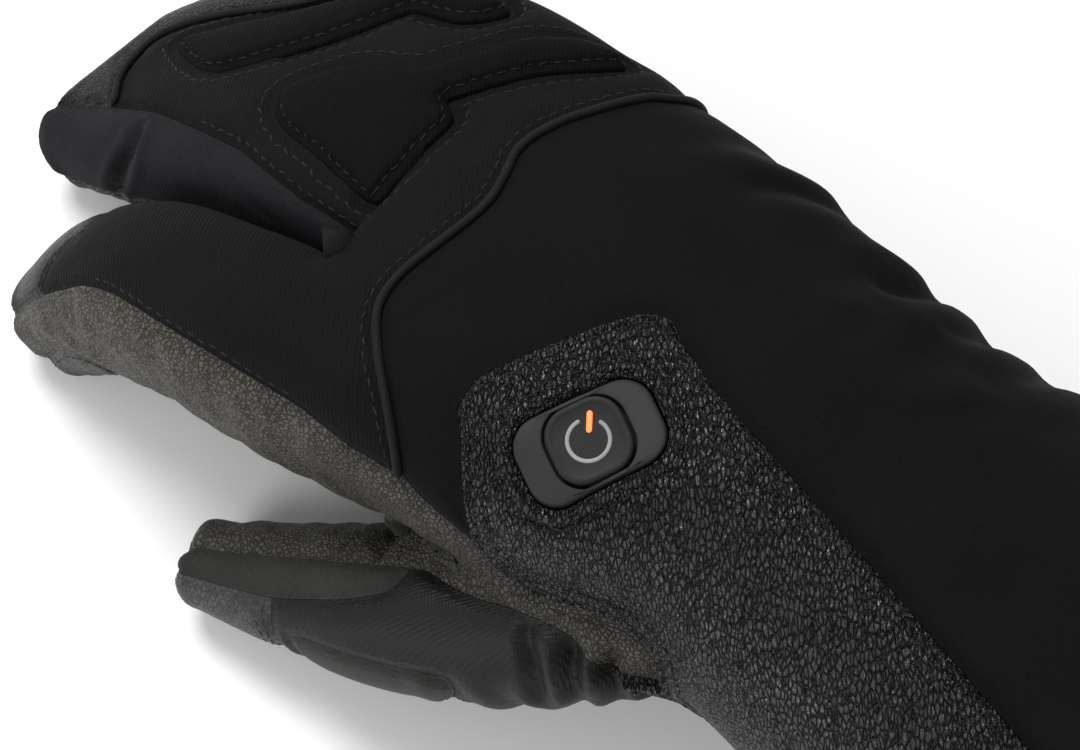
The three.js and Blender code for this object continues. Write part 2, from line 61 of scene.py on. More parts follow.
THUMB = [
    [92, -22, -14, 20, 15, 17, 2.2, 0], [66, -33, -20, 24, 20, 20, 2.2, 0], [44, -48.5, -31, 21, 16.5, 16.5, 2.2, 0],
    [22, -57.5, -39.8, 18.5, 14.8, 14.2, 2.2, 0], [0, -63, -47.5, 14.6, 11.8, 11.3, 2.2, 0], [-24.5, -68.5, -55, 10, 8, 7, 2.2, 0],
]
# seams along a finger or the hand: place in its table, first and last angle round the section
CUT = {
    "thumb_cap": [[4.08, 131, 300], [4.6, 134, 300], [5.6, 138, 300]],
    "thumb_side": [[2.7, 91, 96], [2.84, 90, 110], [3.23, 89, 118], [3.64, 89, 124], [4.07, 90, 131], [5.6, 96, 138]],
    "thumb_palm": [[3.05, -60, 89], [4.07, -60, 90], [5.6, -60, 96]],
    "nose_wipe": [[2.3, 172, 190], [2.5, 168, 226], [3.2, 164, 232], [3.7, 163, 226], [3.9, 168, 190]],
    "palm_thumb": [[0.6, -32, 178], [1.03, -32, 176], [1.36, -32, 147], [1.76, -32, 125], [2, -32, 115], [2.52, -32, 93],
                   [2.72, -32, 91], [3.04, -32, 89]],
    "thumb_base": [[0.1, 176, 340], [1.03, 172, 340], [1.36, 140, 340], [1.76, 115, 340], [2.3, 90, 340], [5.6, 60, 340]],
    "palm_hand": [[0, 170, 350], [2.66, 163, 352], [3.26, 175, 352], [3.86, 191, 352], [5.35, 188, 352]],
    "palm_index": [[0.5, 205, 318], [1, 163, 318], [1.29, 163, 318], [1.81, 154, 318], [2.33, 149, 318], [2.83, 145, 318], [3.3, 141, 316],
                   [3.83, 136, 316], [4.22, 135, 318], [4.55, 138, 320], [5.13, 139, 322], [6.6, 140, 325]],
    "palm_mitten": [[1, 205, 338], [3.2, 205, 338], [4.78, 203, 340], [5.56, 205, 342], [6.6, 200, 344]],
    "touch_tip": [[4.78, 204, 216], [5.1, 194, 236], [5.6, 192, 246], [6.1, 198, 240], [6.6, 206, 226]],
    "index_cap": [[4.62, 80, 92], [4.74, 42, 96], [4.92, 12, 113], [5.02, -20, 140], [6.6, -30, 140]],
    "mitten_side": [[1.72, 152, 205], [2.3, 148, 205], [2.99, 145, 205], [3.68, 134, 204], [4.13, 131, 203],
                    [4.64, 127, 203], [5.26, 125, 204], [6.6, 124, 200]],
    "mitten_back": [[3.4, -16, 145], [4.13, -18, 131], [5.26, -18, 125], [6.6, -16, 124]],
    "gauntlet_under": [[5.35, 188, 352], [9.2, 196, 352]],
    "cuff_hem": [[8.74, -180, 180], [9.4, -180, 180]],
    "patch_side": [[2.2, 60, 204], [8.72, 60, 204]],
}
PIPED_SEAM = [
    [24, -56], [21, -51.8], [14.5, -45.5], [6, -37.5], [-0.5, -29.2], [-1.8, -21], [0, -12.3], [2.2, -3], [3, 4.3],
    [1.7, 11.2], [-0.2, 18.8], [2.2, 28], [7, 37.2], [12.6, 47.3], [16.5, 51.5], [22, 62],
]
CAP_SEAM = [
    [-96.6, -9], [-98.6, -4.5], [-103.7, 3.2], [-105, 11.7], [-103.8, 16.9], [-98.7, 21.6], [-89.4, 26], [-81.4, 28.8],
    [-72, 33], [-63, 40], [-57, 50], [-55, 66],
]
KNUCKLE_PAD = [
    [-55.6, 3.6], [-57.3, 8.4], [-55.5, 12.2], [-50.9, 17.2], [-44.8, 22], [-37, 24.5], [-32, 27], [-29.2, 30.5],
    [-24.4, 36.6], [-19.4, 44.3], [-11, 51.5], [-3, 54.5], [2.5, 53], [-2.2, 46.2], [-9.8, 38.6], [-15.2, 31.7],
    [-19.8, 25.3], [-22, 21.8], [-17.5, 17.9], [-18.3, 8.3], [-18.9, 0.2], [-20.1, -6.5], [-30.2, -5], [-40.7, -2.4], [-49.4, -0.4],
]
FINGER_PAD = [
    [-95, 13.8], [-94.3, 16.9], [-85.8, 22], [-75, 28], [-64, 36], [-55, 45.5], [-44, 52], [-33, 54], [-27, 50.6],
    [-29, 45.8], [-33.5, 41.8], [-38.4, 40.6], [-44.9, 40], [-47.6, 37.6], [-54.3, 28.3], [-62.3, 20.3], [-74.4, 10.4], [-79, 8.6], [-85.1, 9.2],
]
PATCH = [
    [26.4, -18], [26.3, -11], [29.5, -6.3], [35.8, 2.5], [40.5, 8.6], [45, 13.6], [48.4, 15.6], [52.4, 15.8], [55.6, 13.6],
    [69.2, 8.7], [84.3, 4.5], [98.7, 0.3], [112.9, -3.8], [127.1, -8], [141.1, -12.3], [154.8, -16.5], [208, -33],
    [208, -90], [100, -90], [84, -62], [71.9, -49.8], [55.5, -46.2], [41, -40.3], [36.4, -33.3], [30.9, -23.5],
]
SWITCH = dict(at=(53.4, -29.9, 22.2), along=(0.52, 0.82, 0.22), out=(0.07, -0.3, 0.95))


# ------------------------------------------------------------------ tubes
def catmull(rows, s):
    R = np.asarray(rows, float)
    last = len(R) - 1
    s = np.asarray(s, float)
    i = np.clip(np.floor(s).astype(int), 0, last - 1)
    t = (s - i)[:, None]
    ext = np.vstack([2 * R[0] - R[1], R, 2 * R[-1] - R[-2]])
    a, b, c, d = ext[i], ext[i + 1], ext[i + 2], ext[i + 3]
    smooth = 0.5 * (2 * b + (c - a) * t + (2 * a - 5 * b + 4 * c - d) * t ** 2 + (3 * b - a - 3 * c + d) * t ** 3)
    out = b + (c - b) * t
    return np.where((t < 0) | (t > 1), out, smooth)


class Tube:
    def __init__(self, rows, end_open=False):
        self.last = len(rows) - 1
        self.end_open = end_open
        self.s = np.arange(-0.6, self.last + 0.9, 0.02)
        R = catmull(rows, self.s)
        f, b = catmull(rows, self.s + 0.12), catmull(rows, self.s - 0.12)
        T = f[:, :3] - b[:, :3]
        T /= np.linalg.norm(T, axis=1)[:, None]
        Y = np.array([0, 1.0, 0])
        W = Y - (T @ Y)[:, None] * T
        W /= np.linalg.norm(W, axis=1)[:, None]
        V = np.cross(T, W)
        V *= np.where(V[:, 2:] < 0, -1, 1)
        self.C, self.T, self.W, self.V, self.size = R[:, :3], T, W, V, R[:, 3:7]
        self.skew = np.radians(R[:, 7])
        end = np.argmin(abs(self.s - self.last))
        self.depth = 1e9 if end_open else min(self.size[end, 1], self.size[end, 2]) * 0.95
        self.table = np.hstack([self.C, self.T, self.W, self.V, self.size, self.skew[:, None]])

    def at(self, s):
        x = (s - self.s[0]) / 0.02
        x = np.clip(x, 0, len(self.s) - 1.001)
        i = x.astype(int)
        t = (x - i)[:, None]
        return self.table[i] * (1 - t) + self.table[i + 1] * t

    def coords(self, P):
        """place along the tube, angle, local radius and signed distance of points"""
        order = np.argsort(self.C[:, 0])
        s = np.interp(P[:, 0], self.C[order, 0], self.s[order])
        for _ in range(5):
            r = self.at(s)
            q = P - r[:, :3]
            step = np.einsum("ij,ij->i", q, r[:, 3:6]) + np.tan(r[:, 16]) * np.einsum("ij,ij->i", q, r[:, 6:9])
            r2 = self.at(s + 0.02)
            per = np.linalg.norm(r2[:, :3] - r[:, :3], axis=1) / 0.02
            s = np.clip(s + np.clip(step / np.maximum(per, 4), -0.6, 0.6), self.s[0], self.s[-1] - 0.03)
        over = np.zeros(len(s))
        if not self.end_open:
            e = self.at(np.array([float(self.last)]))[0]
            over = np.maximum((P - e[:3]) @ (e[3:6] + math.tan(e[16]) * e[6:9]), 0)
            over = np.where(s > self.last - 0.3, over, 0)
        inside_s = np.minimum(s, self.last) if not self.end_open else s
        r = self.at(inside_s)
        q = P - r[:, :3]
        skew = r[:, 16]
        w = np.einsum("ij,ij->i", q, r[:, 6:9]) / np.cos(skew)
        v = np.einsum("ij,ij->i", q, r[:, 9:12])
        half, back, palm, n = r[:, 12], r[:, 13], r[:, 14], r[:, 15]
        b = np.where(v >= 0, back, palm)
        l = over
        a = half
        if not self.end_open:
            m = np.minimum(half, self.depth)
            h = np.clip(l / (0.35 * self.depth), 0, 1)
            flat = (half - m) * h
            w2 = np.maximum(abs(w) - flat, 0) * np.sign(w)
            a2 = half - flat
            n2 = n * (1 - h) + 2.2 * h
            g = ((abs(w2) / a2) ** n2 + (abs(v) / b) ** n2) ** (1 / n2)
            rho = np.sqrt(g ** 2 + (l / self.depth) ** 2)
            rad = np.sqrt(w2 ** 2 + v ** 2 + l ** 2)
        else:
            rho = ((abs(w) / a) ** n + (abs(v) / b) ** n) ** (1 / n)
            rad = np.hypot(w, v)
        f = (rho - 1) * rad / np.maximum(rho, 1e-6)
        near = np.minimum(half, b) * 0.5
        f = np.where(rho < 0.3, -near, f)
        if not self.end_open:
            r0 = self.at(np.array([0.0]))[0]
            f = np.maximum(f, -((P - r0[:3]) @ r0[3:6]))
        theta = np.degrees(np.arctan2(v / b, w / half))
        return s + over / 25.0 * (over > 0), theta, np.hypot(w, v), f


TUBES = {"hand": Tube(HAND, True), "index": Tube(INDEX), "mitten": Tube(MITTEN), "thumb": Tube(THUMB)}


def smin(a, b, k):
    h = np.clip(0.5 + 0.5 * (b - a) / k, 0, 1)
    return b * (1 - h) + a * h - k * h * (1 - h)


def coords(P):
    return {k: t.coords(P) for k, t in TUBES.items()}


def field(P, c=None):
    c = c or coords(P)
    h = c["hand"][3]
    front = np.einsum("ij,j->i", P - np.array(HAND[0][:3], float), np.array([-1.0, 0, 0]))
    h = np.maximum(h, front)
    return np.minimum(np.minimum(smin(h, c["index"][3], 5.0), smin(h, c["mitten"][3], 5.0)), smin(h, c["thumb"][3], 7.0))


def loft_mesh(tube, around, per, s0, s1):
    rings, n = [], int((s1 - s0) * per)
    th = np.linspace(0, 2 * np.pi, around, endpoint=False)
    r = tube.at(np.linspace(s0, s1, n + 1))
    for q in r:
        rings.append((q[:3], q[6:9], q[9:12], q[12], q[13], q[14], q[15], q[16], q[3:6]))
    if not tube.end_open:
        e = rings[-1]
        depth = min(e[4], e[5]) * 0.95
        for f in (0.25, 0.45, 0.62, 0.76, 0.87, 0.95, 0.99):
            k = math.sqrt(1 - f * f)
            rings.append((e[0] + e[8] * depth * f, e[1], e[2], e[3] - (1 - k) * min(e[3], depth), e[4] * k, e[5] * k, e[6], e[7], e[8]))
    V = []
    for C, W, Vv, half, back, palm, ex, skew, T in rings:
        c, s = np.cos(th), np.sin(th)
        k = (abs(c) ** ex + abs(s) ** ex) ** (-1 / ex)
        Wk = W * math.cos(skew) - T * math.sin(skew)
        V.append(C + np.outer(half * c * k, Wk) + np.outer(np.where(s >= 0, back, palm) * s * k, Vv))
    m = len(V)
    V = np.concatenate(V + [V[0].mean(0)[None], V[-1].mean(0)[None]])
    F = []
    for i in range(m - 1):
        for j in range(around):
            a, b = i * around + j, i * around + (j + 1) % around
            F.append((a, b, b + around, a + around))
    for j in range(around):
        F.append((len(V) - 2, (j + 1) % around, j))
        F.append((len(V) - 1, (m - 1) * around + j, (m - 1) * around + (j + 1) % around))
    return V, F


def skin_mesh():
    """one closed skin over all the tubes, triangles"""
    allV, allF, off = [], [], 0
    for name, around, per, s0, s1 in (("hand", 96, 10, 0.02, 9.35), ("index", 64, 10, 0, 6), ("mitten", 96, 10, 0, 6), ("thumb", 56, 10, 0, 5)):
        V, F = loft_mesh(TUBES[name], around, per, s0, s1)
        allV.append(V)
        allF += [tuple(x + off for x in f) for f in F]
        off += len(V)
    me = bpy.data.meshes.new("skin_source")
    me.from_pydata(np.concatenate(allV).tolist(), [], allF)
    ob = bpy.data.objects.new("skin_source", me)
    bpy.context.scene.collection.objects.link(ob)
    mod = ob.modifiers.new("r", "REMESH")
    mod.mode = "VOXEL"
    mod.voxel_size = VOXEL
    mod.adaptivity = 0
    dg = bpy.context.evaluated_depsgraph_get()
    ev = ob.evaluated_get(dg).to_mesh()
    P = np.empty(len(ev.vertices) * 3)
    ev.vertices.foreach_get("co", P)
    P = P.reshape(-1, 3)
    ev.calc_loop_triangles()
    F = np.empty(len(ev.loop_triangles) * 3, dtype=np.int32)
    ev.loop_triangles.foreach_get("vertices", F)
    F = F.reshape(-1, 3).astype(int)
    bpy.data.objects.remove(ob)
    return P, F


def smooth_positions(P, F, rounds, keep=None):
    E = np.unique(np.sort(np.concatenate([F[:, [0, 1]], F[:, [1, 2]], F[:, [2, 0]]]), axis=1), axis=0)
    deg = np.bincount(E.ravel(), minlength=len(P)).astype(float)
    for _ in range(rounds):
        acc = np.stack([np.bincount(E[:, 0], P[E[:, 1], k], len(P)) + np.bincount(E[:, 1], P[E[:, 0], k], len(P)) for k in range(3)], 1)
        P = 0.5 * P + 0.5 * acc / deg[:, None]
    return P


# ------------------------------------------------------------------ one mesh with labelled faces, cut along seams
class Skin:
    def __init__(self, P, F):
        self.P, self.F = P, F
        self.label = np.full(len(F), -1)
        self.c = coords(P)
        self.seams = []

    def values(self, fn):
        return fn(self.P, self.c)

    def split(self, g, open_faces, clamp=0.05):
        """adds points where g crosses zero on the given faces; returns g on the new mesh"""
        F = self.F
        E = np.stack([F[:, [0, 1]], F[:, [1, 2]], F[:, [2, 0]]], 1)
        key = np.sort(E, axis=2)
        code = key[..., 0].astype(np.int64) * len(self.P) + key[..., 1]
        pos = g > 0
        crossing = (pos[E[..., 0]] != pos[E[..., 1]]) & open_faces[:, None]
        codes = np.unique(code[crossing])
        if len(codes) == 0:
            return g
        a, b = codes // len(self.P), codes % len(self.P)
        newP = insert(self, codes, np.clip(g[a] / (g[a] - g[b]), clamp, 1 - clamp))
        nc = coords(newP)
        self.c = {k: tuple(np.concatenate([u, v]) for u, v in zip(self.c[k], nc[k])) for k in self.c}
        return np.concatenate([g, np.zeros(len(newP))])

    def take(self, fn, label):
        g = fn(self.P, self.c)
        g = np.where(abs(g) < 1e-6, 1e-6, g)
        free = self.label < 0
        g = self.split(g, free)
        inside = g[self.F].sum(1) > 0
        self.label[(self.label < 0) & inside] = label

    def compact(self):
        used = np.unique(self.F)
        m = np.full(len(self.P), -1)
        m[used] = np.arange(len(used))
        self.P, self.F = self.P[used], m[self.F]
        self.c = {k: tuple(u[used] for u in v) for k, v in self.c.items()}


def sector(tube, cut, out=2.5):
    rows = np.array(cut, float)
    T = TUBES[tube]

    def fn(P, c):
        s, th, rad, f = c[tube]
        lo = np.interp(s, rows[:, 0], rows[:, 1])
        hi = np.interp(s, rows[:, 0], rows[:, 2])
        mid = (lo + hi) / 2
        d = (th - mid + 180) % 360 - 180
        half = (hi - lo) / 2
        r = np.maximum(rad, 3) * math.pi / 180
        per = np.linalg.norm(np.gradient(T.C, axis=0), axis=1) / 0.02
        L = np.interp(s, T.s, per)
        g = np.minimum((s - rows[0, 0]) * L, (rows[-1, 0] - s) * L)
        if np.max(rows[:, 2] - rows[:, 1]) < 359:
            g = np.minimum(g, (half - abs(d)) * r)
        return np.minimum(g, out - f)
    return fn


def any_of(*fns):
    return lambda P, c: np.max([f(P, c) for f in fns], axis=0)


def all_of(*fns):
    return lambda P, c: np.min([f(P, c) for f in fns], axis=0)


def polygon_distance(X, poly):
    """signed distance to a closed outline, positive inside"""
    A = np.array(poly, float)
    B = np.roll(A, -1, 0)
    best = np.full(len(X), 1e9)
    inside = np.zeros(len(X), bool)
    for a, b in zip(A, B):
        e = b - a
        t = np.clip(((X - a) @ e) / max(e @ e, 1e-9), 0, 1)
        best = np.minimum(best, np.linalg.norm(X - a - t[:, None] * e, axis=1))
        cond = (a[1] > X[:, 1]) != (b[1] > X[:, 1])
        with np.errstate(divide="ignore", invalid="ignore"):
            xi = (b[0] - a[0]) * (X[:, 1] - a[1]) / (b[1] - a[1]) + a[0]
        inside ^= cond & (X[:, 0] < xi)
    return np.where(inside, best, -best)


def rounded(poly, n=5):
    """a closed outline through the same corners, smoothed"""
    P = np.array(poly, float)
    out = []
    for i in range(len(P)):
        p0, p1, p2, p3 = P[i - 1], P[i], P[(i + 1) % len(P)], P[(i + 2) % len(P)]
        for k in range(n):
            t = k / n
            out.append(0.5 * (2 * p1 + (p2 - p0) * t + (2 * p0 - 5 * p1 + 4 * p2 - p3) * t * t + (3 * p1 - p0 - 3 * p2 + p3) * t ** 3))
    return np.array(out)


def open_curve(pts, n=5):
    P = np.array(pts, float)
    ext = np.vstack([2 * P[0] - P[1], P, 2 * P[-1] - P[-2]])
    out = []
    for i in range(len(P) - 1):
        p0, p1, p2, p3 = ext[i:i + 4]
        for k in range(n):
            t = k / n
            out.append(0.5 * (2 * p1 + (p2 - p0) * t + (2 * p0 - 5 * p1 + 4 * p2 - p3) * t * t + (3 * p1 - p0 - 3 * p2 + p3) * t ** 3))
    out.append(P[-1])
    return np.array(out)


def from_above(poly):
    return lambda P, c: polygon_distance(P[:, :2], poly)


def patch_plane(P):
    return np.stack([P[:, 0], 0.8 * P[:, 1] + 0.6 * P[:, 2]], 1)


def to_world(P):
    p, t = math.radians(ROLL), math.radians(PITCH)
    x, y, z = P[:, 0], P[:, 1], P[:, 2]
    y, z = y * math.cos(p) - z * math.sin(p), y * math.sin(p) + z * math.cos(p)
    x, z = x * math.cos(t) + z * math.sin(t), -x * math.sin(t) + z * math.cos(t)
    return np.stack([x + SHIFT[0], y + SHIFT[1], z + LIFT + SHIFT[2]], 1) / 1000


def to_world_dir(d):
    o = to_world(np.array([[0, 0, 0.0], list(d)]))
    v = o[1] - o[0]
    return Vector(v).normalized()


def vertex_normals(P, F):
    fn = np.cross(P[F[:, 1]] - P[F[:, 0]], P[F[:, 2]] - P[F[:, 0]])
    N = np.stack([np.bincount(F.ravel(), np.repeat(fn[:, k], 3), len(P)) for k in range(3)], 1)
    return N / np.maximum(np.linalg.norm(N, axis=1), 1e-12)[:, None]


# ------------------------------------------------------------------ the skin, cut into its panels
def insert(self, codes, t):
    """puts a point on each of these edges, given as low * count + high, and splits the faces round it"""
    F = self.F
    E = np.stack([F[:, [0, 1]], F[:, [1, 2]], F[:, [2, 0]]], 1)
    key = np.sort(E, axis=2)
    code = key[..., 0].astype(np.int64) * len(self.P) + key[..., 1]
    a, b = codes // len(self.P), codes % len(self.P)
    newP = self.P[a] * (1 - t[:, None]) + self.P[b] * t[:, None]
    base = len(self.P)
    idx = np.clip(np.searchsorted(codes, code), 0, len(codes) - 1)
    has = codes[idx] == code
    mid = np.where(has, base + idx, -1)
    cnt = has.sum(1)
    out, lab = [F[cnt == 0]], [self.label[cnt == 0]]
    for k in range(3):
        m = (cnt == 1) & has[:, k]
        p, q, r, n = F[m, k], F[m, (k + 1) % 3], F[m, (k + 2) % 3], mid[m, k]
        out += [np.stack([p, n, r], 1), np.stack([n, q, r], 1)]
        lab += [self.label[m]] * 2
        m = (cnt == 2) & ~has[:, k]
        p, q, r = F[m, k], F[m, (k + 1) % 3], F[m, (k + 2) % 3]
        nq, nr = mid[m, (k + 1) % 3], mid[m, (k + 2) % 3]
        out += [np.stack([p, q, nq], 1), np.stack([p, nq, nr], 1), np.stack([nq, r, nr], 1)]
        lab += [self.label[m]] * 3
    m = cnt == 3
    p, q, r = F[m].T
    n0, n1, n2 = mid[m].T
    out += [np.stack([p, n0, n2], 1), np.stack([n0, q, n1], 1), np.stack([n1, r, n2], 1), np.stack([n0, n1, n2], 1)]
    lab += [self.label[m]] * 4
    self.F, self.label = np.concatenate(out), np.concatenate(lab)
    self.P = np.vstack([self.P, newP])
    return newP


def seam_edges(F, label):
    """edges between faces of different panels: vertex pairs and the two labels"""
    E = np.concatenate([F[:, [0, 1]], F[:, [1, 2]], F[:, [2, 0]]])
    L = np.concatenate([label] * 3)
    key = np.sort(E, axis=1)
    order = np.lexsort((key[:, 1], key[:, 0]))
    key, L = key[order], L[order]
    same = (key[1:] == key[:-1]).all(1)
    i = np.flatnonzero(same & (L[1:] != L[:-1]))
    return key[i], np.stack([np.minimum(L[i], L[i + 1]), np.maximum(L[i], L[i + 1])], 1)


NAMES = ["off", "thumb_cap", "thumb_side", "thumb_palm", "nose_wipe", "touch_tip", "index_cap", "cuff_hem", "palm_leather",
         "mitten_side", "mitten_cap", "switch_hole", "cuff_patch", "gauntlet_under", "thumb_back", "knuckle_pad", "finger_pad",
         "knuckle_panel", "back_panel"]
ID = {n: i for i, n in enumerate(NAMES)}

out_v = Vector(SWITCH["out"]).normalized()
along_v = Vector(SWITCH["along"])
along_v = (along_v - out_v * along_v.dot(out_v)).normalized()
across_v = out_v.cross(along_v)
SW_AT, SW_U, SW_V, SW_W = (np.array(v) for v in (SWITCH["at"], along_v, across_v, out_v))


def rounded_box_distance(u, v, length, width, corner):
    qx, qy = abs(u) - (length / 2 - corner), abs(v) - (width / 2 - corner)
    return corner - np.hypot(np.maximum(qx, 0), np.maximum(qy, 0)) - np.minimum(np.maximum(qx, qy), 0)


def switch_hole(P, c):
    q = P - SW_AT
    return np.minimum(rounded_box_distance(q @ SW_U, q @ SW_V, 30.6, 19.6, 6.8), 12 - abs(q @ SW_W))


def sew_up():
    P, F = skin_mesh()
    for _ in range(3):
        P = P - vertex_normals(P, F) * np.clip(field(P), -1.5, 1.5)[:, None]
    sk = Skin(P, F)
    piped = np.vstack([open_curve(PIPED_SEAM), [[-160, 62], [-160, -56]]])
    cap = np.vstack([open_curve(CAP_SEAM), [[-160, 66], [-160, -9]]])
    above = lambda P, c: P[:, 2] + 14
    palm_hand = all_of(sector("hand", CUT["palm_hand"]), lambda P, c: np.maximum(P[:, 0] + 11, -8 - P[:, 2]))
    palm = any_of(palm_hand, *(sector(t, CUT["palm_" + t]) for t in ("index", "mitten", "thumb")))
    patch = all_of(lambda P, c: polygon_distance(patch_plane(P), np.array(PATCH, float)), sector("hand", CUT["patch_side"], 9))
    steps = [
        ("off", lambda P, c: (c["hand"][0] - 9.0) * 28.0),
        ("thumb_cap", sector("thumb", CUT["thumb_cap"])), ("thumb_side", sector("thumb", CUT["thumb_side"])),
        ("thumb_palm", sector("thumb", CUT["thumb_palm"])), ("nose_wipe", sector("thumb", CUT["nose_wipe"])),
        ("touch_tip", sector("index", CUT["touch_tip"])), ("index_cap", sector("index", CUT["index_cap"])),
        ("cuff_hem", sector("hand", CUT["cuff_hem"], 9)), ("palm_leather", palm), ("mitten_side", sector("mitten", CUT["mitten_side"])),
        ("mitten_cap", all_of(from_above(cap), sector("mitten", CUT["mitten_back"]))),
        ("switch_hole", switch_hole), ("cuff_patch", patch),
        ("gauntlet_under", sector("hand", CUT["gauntlet_under"], 9)), ("thumb_back", sector("thumb", CUT["thumb_base"])),
        ("knuckle_pad", all_of(from_above(rounded(KNUCKLE_PAD)), above)), ("finger_pad", all_of(from_above(rounded(FINGER_PAD)), lambda P, c: P[:, 2] + 40)),
        ("knuckle_panel", from_above(piped)),
    ]
    for name, fn in steps:
        sk.take(fn, ID[name])
    sk.label[sk.label < 0] = ID["back_panel"]
    mid = sk.P[sk.F].mean(1)
    between_fingers = (abs(mid[:, 0] + 18) < 12) & (abs(mid[:, 1] + 17) < 9) & (mid[:, 2] > -10)
    sk.label[between_fingers & (sk.label != ID["mitten_side"])] = ID["knuckle_panel"]
    tidy_islands(sk)
    keep = sk.label != ID["off"]
    rim_pts = seam_vertices(sk, lambda a, b: a == ID["off"])
    sk.rim_points = sk.P[rim_pts]
    sk.F, sk.label = sk.F[keep], sk.label[keep]
    sk.compact()
    return sk


def seam_vertices(sk, test):
    key, lab = seam_edges(sk.F, sk.label)
    m = np.array([test(a, b) for a, b in lab], bool) if len(lab) else np.zeros(0, bool)
    return np.unique(key[m])


def tidy_islands(sk):
    """small loose islands of a panel join the panel round them"""
    F, lab = sk.F, sk.label
    for _ in range(3):
        comp = np.arange(len(F))
        E = np.concatenate([F[:, [0, 1]], F[:, [1, 2]], F[:, [2, 0]]])
        fid = np.tile(np.arange(len(F)), 3)
        key = np.sort(E, axis=1)
        order = np.lexsort((key[:, 1], key[:, 0]))
        key, fid = key[order], fid[order]
        i = np.flatnonzero((key[1:] == key[:-1]).all(1))
        a, b = fid[i], fid[i + 1]
        same = lab[a] == lab[b]
        sa, sb = a[same], b[same]
        while True:
            low = np.minimum(comp[sa], comp[sb])
            new = comp.copy()
            np.minimum.at(new, sa, low)
            np.minimum.at(new, sb, low)
            new = new[new]
            if (new == comp).all():
                break
            comp = new
        area = np.linalg.norm(np.cross(sk.P[F[:, 1]] - sk.P[F[:, 0]], sk.P[F[:, 2]] - sk.P[F[:, 0]]), axis=1) / 2
        total = np.bincount(comp, area, len(F))
        small = total[comp] < 60
        best = {}
        for l in np.unique(lab):
            m = lab == l
            best[l] = np.max(total[comp[m]])
        small &= total[comp] < np.array([best[l] for l in lab]) - 1e-6
        if not small.any():
            break
        da, db = a[~same], b[~same]
        votes = {}
        for x, y in np.concatenate([np.stack([da, db], 1), np.stack([db, da], 1)]):
            if small[x] and not small[y]:
                votes.setdefault(comp[x], []).append(lab[y])
        for cid, v in votes.items():
            lab[comp == cid] = max(set(v), key=v.count)
    sk.label = lab


def refine(sk, near, limit):
    """halves the edges of faces near a seam"""
    m = near[sk.F].min(1) < limit
    F = sk.F[m]
    E = np.sort(np.concatenate([F[:, [0, 1]], F[:, [1, 2]], F[:, [2, 0]]]), axis=1)
    L = np.linalg.norm(sk.P[E[:, 0]] - sk.P[E[:, 1]], axis=1)
    E = E[L > 0.55]
    codes = np.unique(E[:, 0].astype(np.int64) * len(sk.P) + E[:, 1])
    insert(sk, codes, np.full(len(codes), 0.5))


def distance_to(points, P, far=12.0):
    kd = kdtree.KDTree(len(points))
    for i, p in enumerate(points):
        kd.insert(p, i)
    kd.balance()
    lo, hi = points.min(0) - far, points.max(0) + far
    near = np.flatnonzero(((P > lo) & (P < hi)).all(1))
    D = np.full(len(P), far)
    find = kd.find
    D[near] = [find(p)[2] for p in P[near]]
    return np.minimum(D, far)


def polyline_distance(P, line, n=24):
    """distance to a smooth 3-D line and the place along it, 0 to 1"""
    A = np.array(line, float)
    ext = np.vstack([2 * A[0] - A[1], A, 2 * A[-1] - A[-2]])
    pts = []
    for i in range(len(A) - 1):
        p0, p1, p2, p3 = ext[i:i + 4]
        for k in range(n):
            t = k / n
            pts.append(0.5 * (2 * p1 + (p2 - p0) * t + (2 * p0 - 5 * p1 + 4 * p2 - p3) * t * t + (3 * p1 - p0 - 3 * p2 + p3) * t ** 3))
    pts.append(A[-1])
    pts = np.array(pts)
    D, W = np.full(len(P), 60.0), np.zeros(len(P))
    near = np.flatnonzero(((P > pts.min(0) - 20) & (P < pts.max(0) + 20)).all(1))
    for i, p in enumerate(pts):
        d = np.linalg.norm(P[near] - p, axis=1)
        m = d < D[near]
        D[near[m]] = d[m]
        W[near[m]] = i / (len(pts) - 1)
    return D, W


def smoothstep(x):
    x = np.clip(x, 0, 1)
    return x * x * (3 - 2 * x)


def bell(d, s):
    return np.exp(-(d / s) ** 2)


def ripple(P, wavelength, seed, n=7):
    """soft unevenness, a sum of seeded waves, about -1 to 1"""
    rng = np.random.default_rng(seed)
    h = np.zeros(len(P))
    for _ in range(n):
        k = rng.normal(size=3)
        k *= 2 * math.pi / wavelength / np.linalg.norm(k) * rng.uniform(0.6, 1.5)
        h += np.sin(P @ k + rng.uniform(0, 6.28))
    return h / n ** 0.5


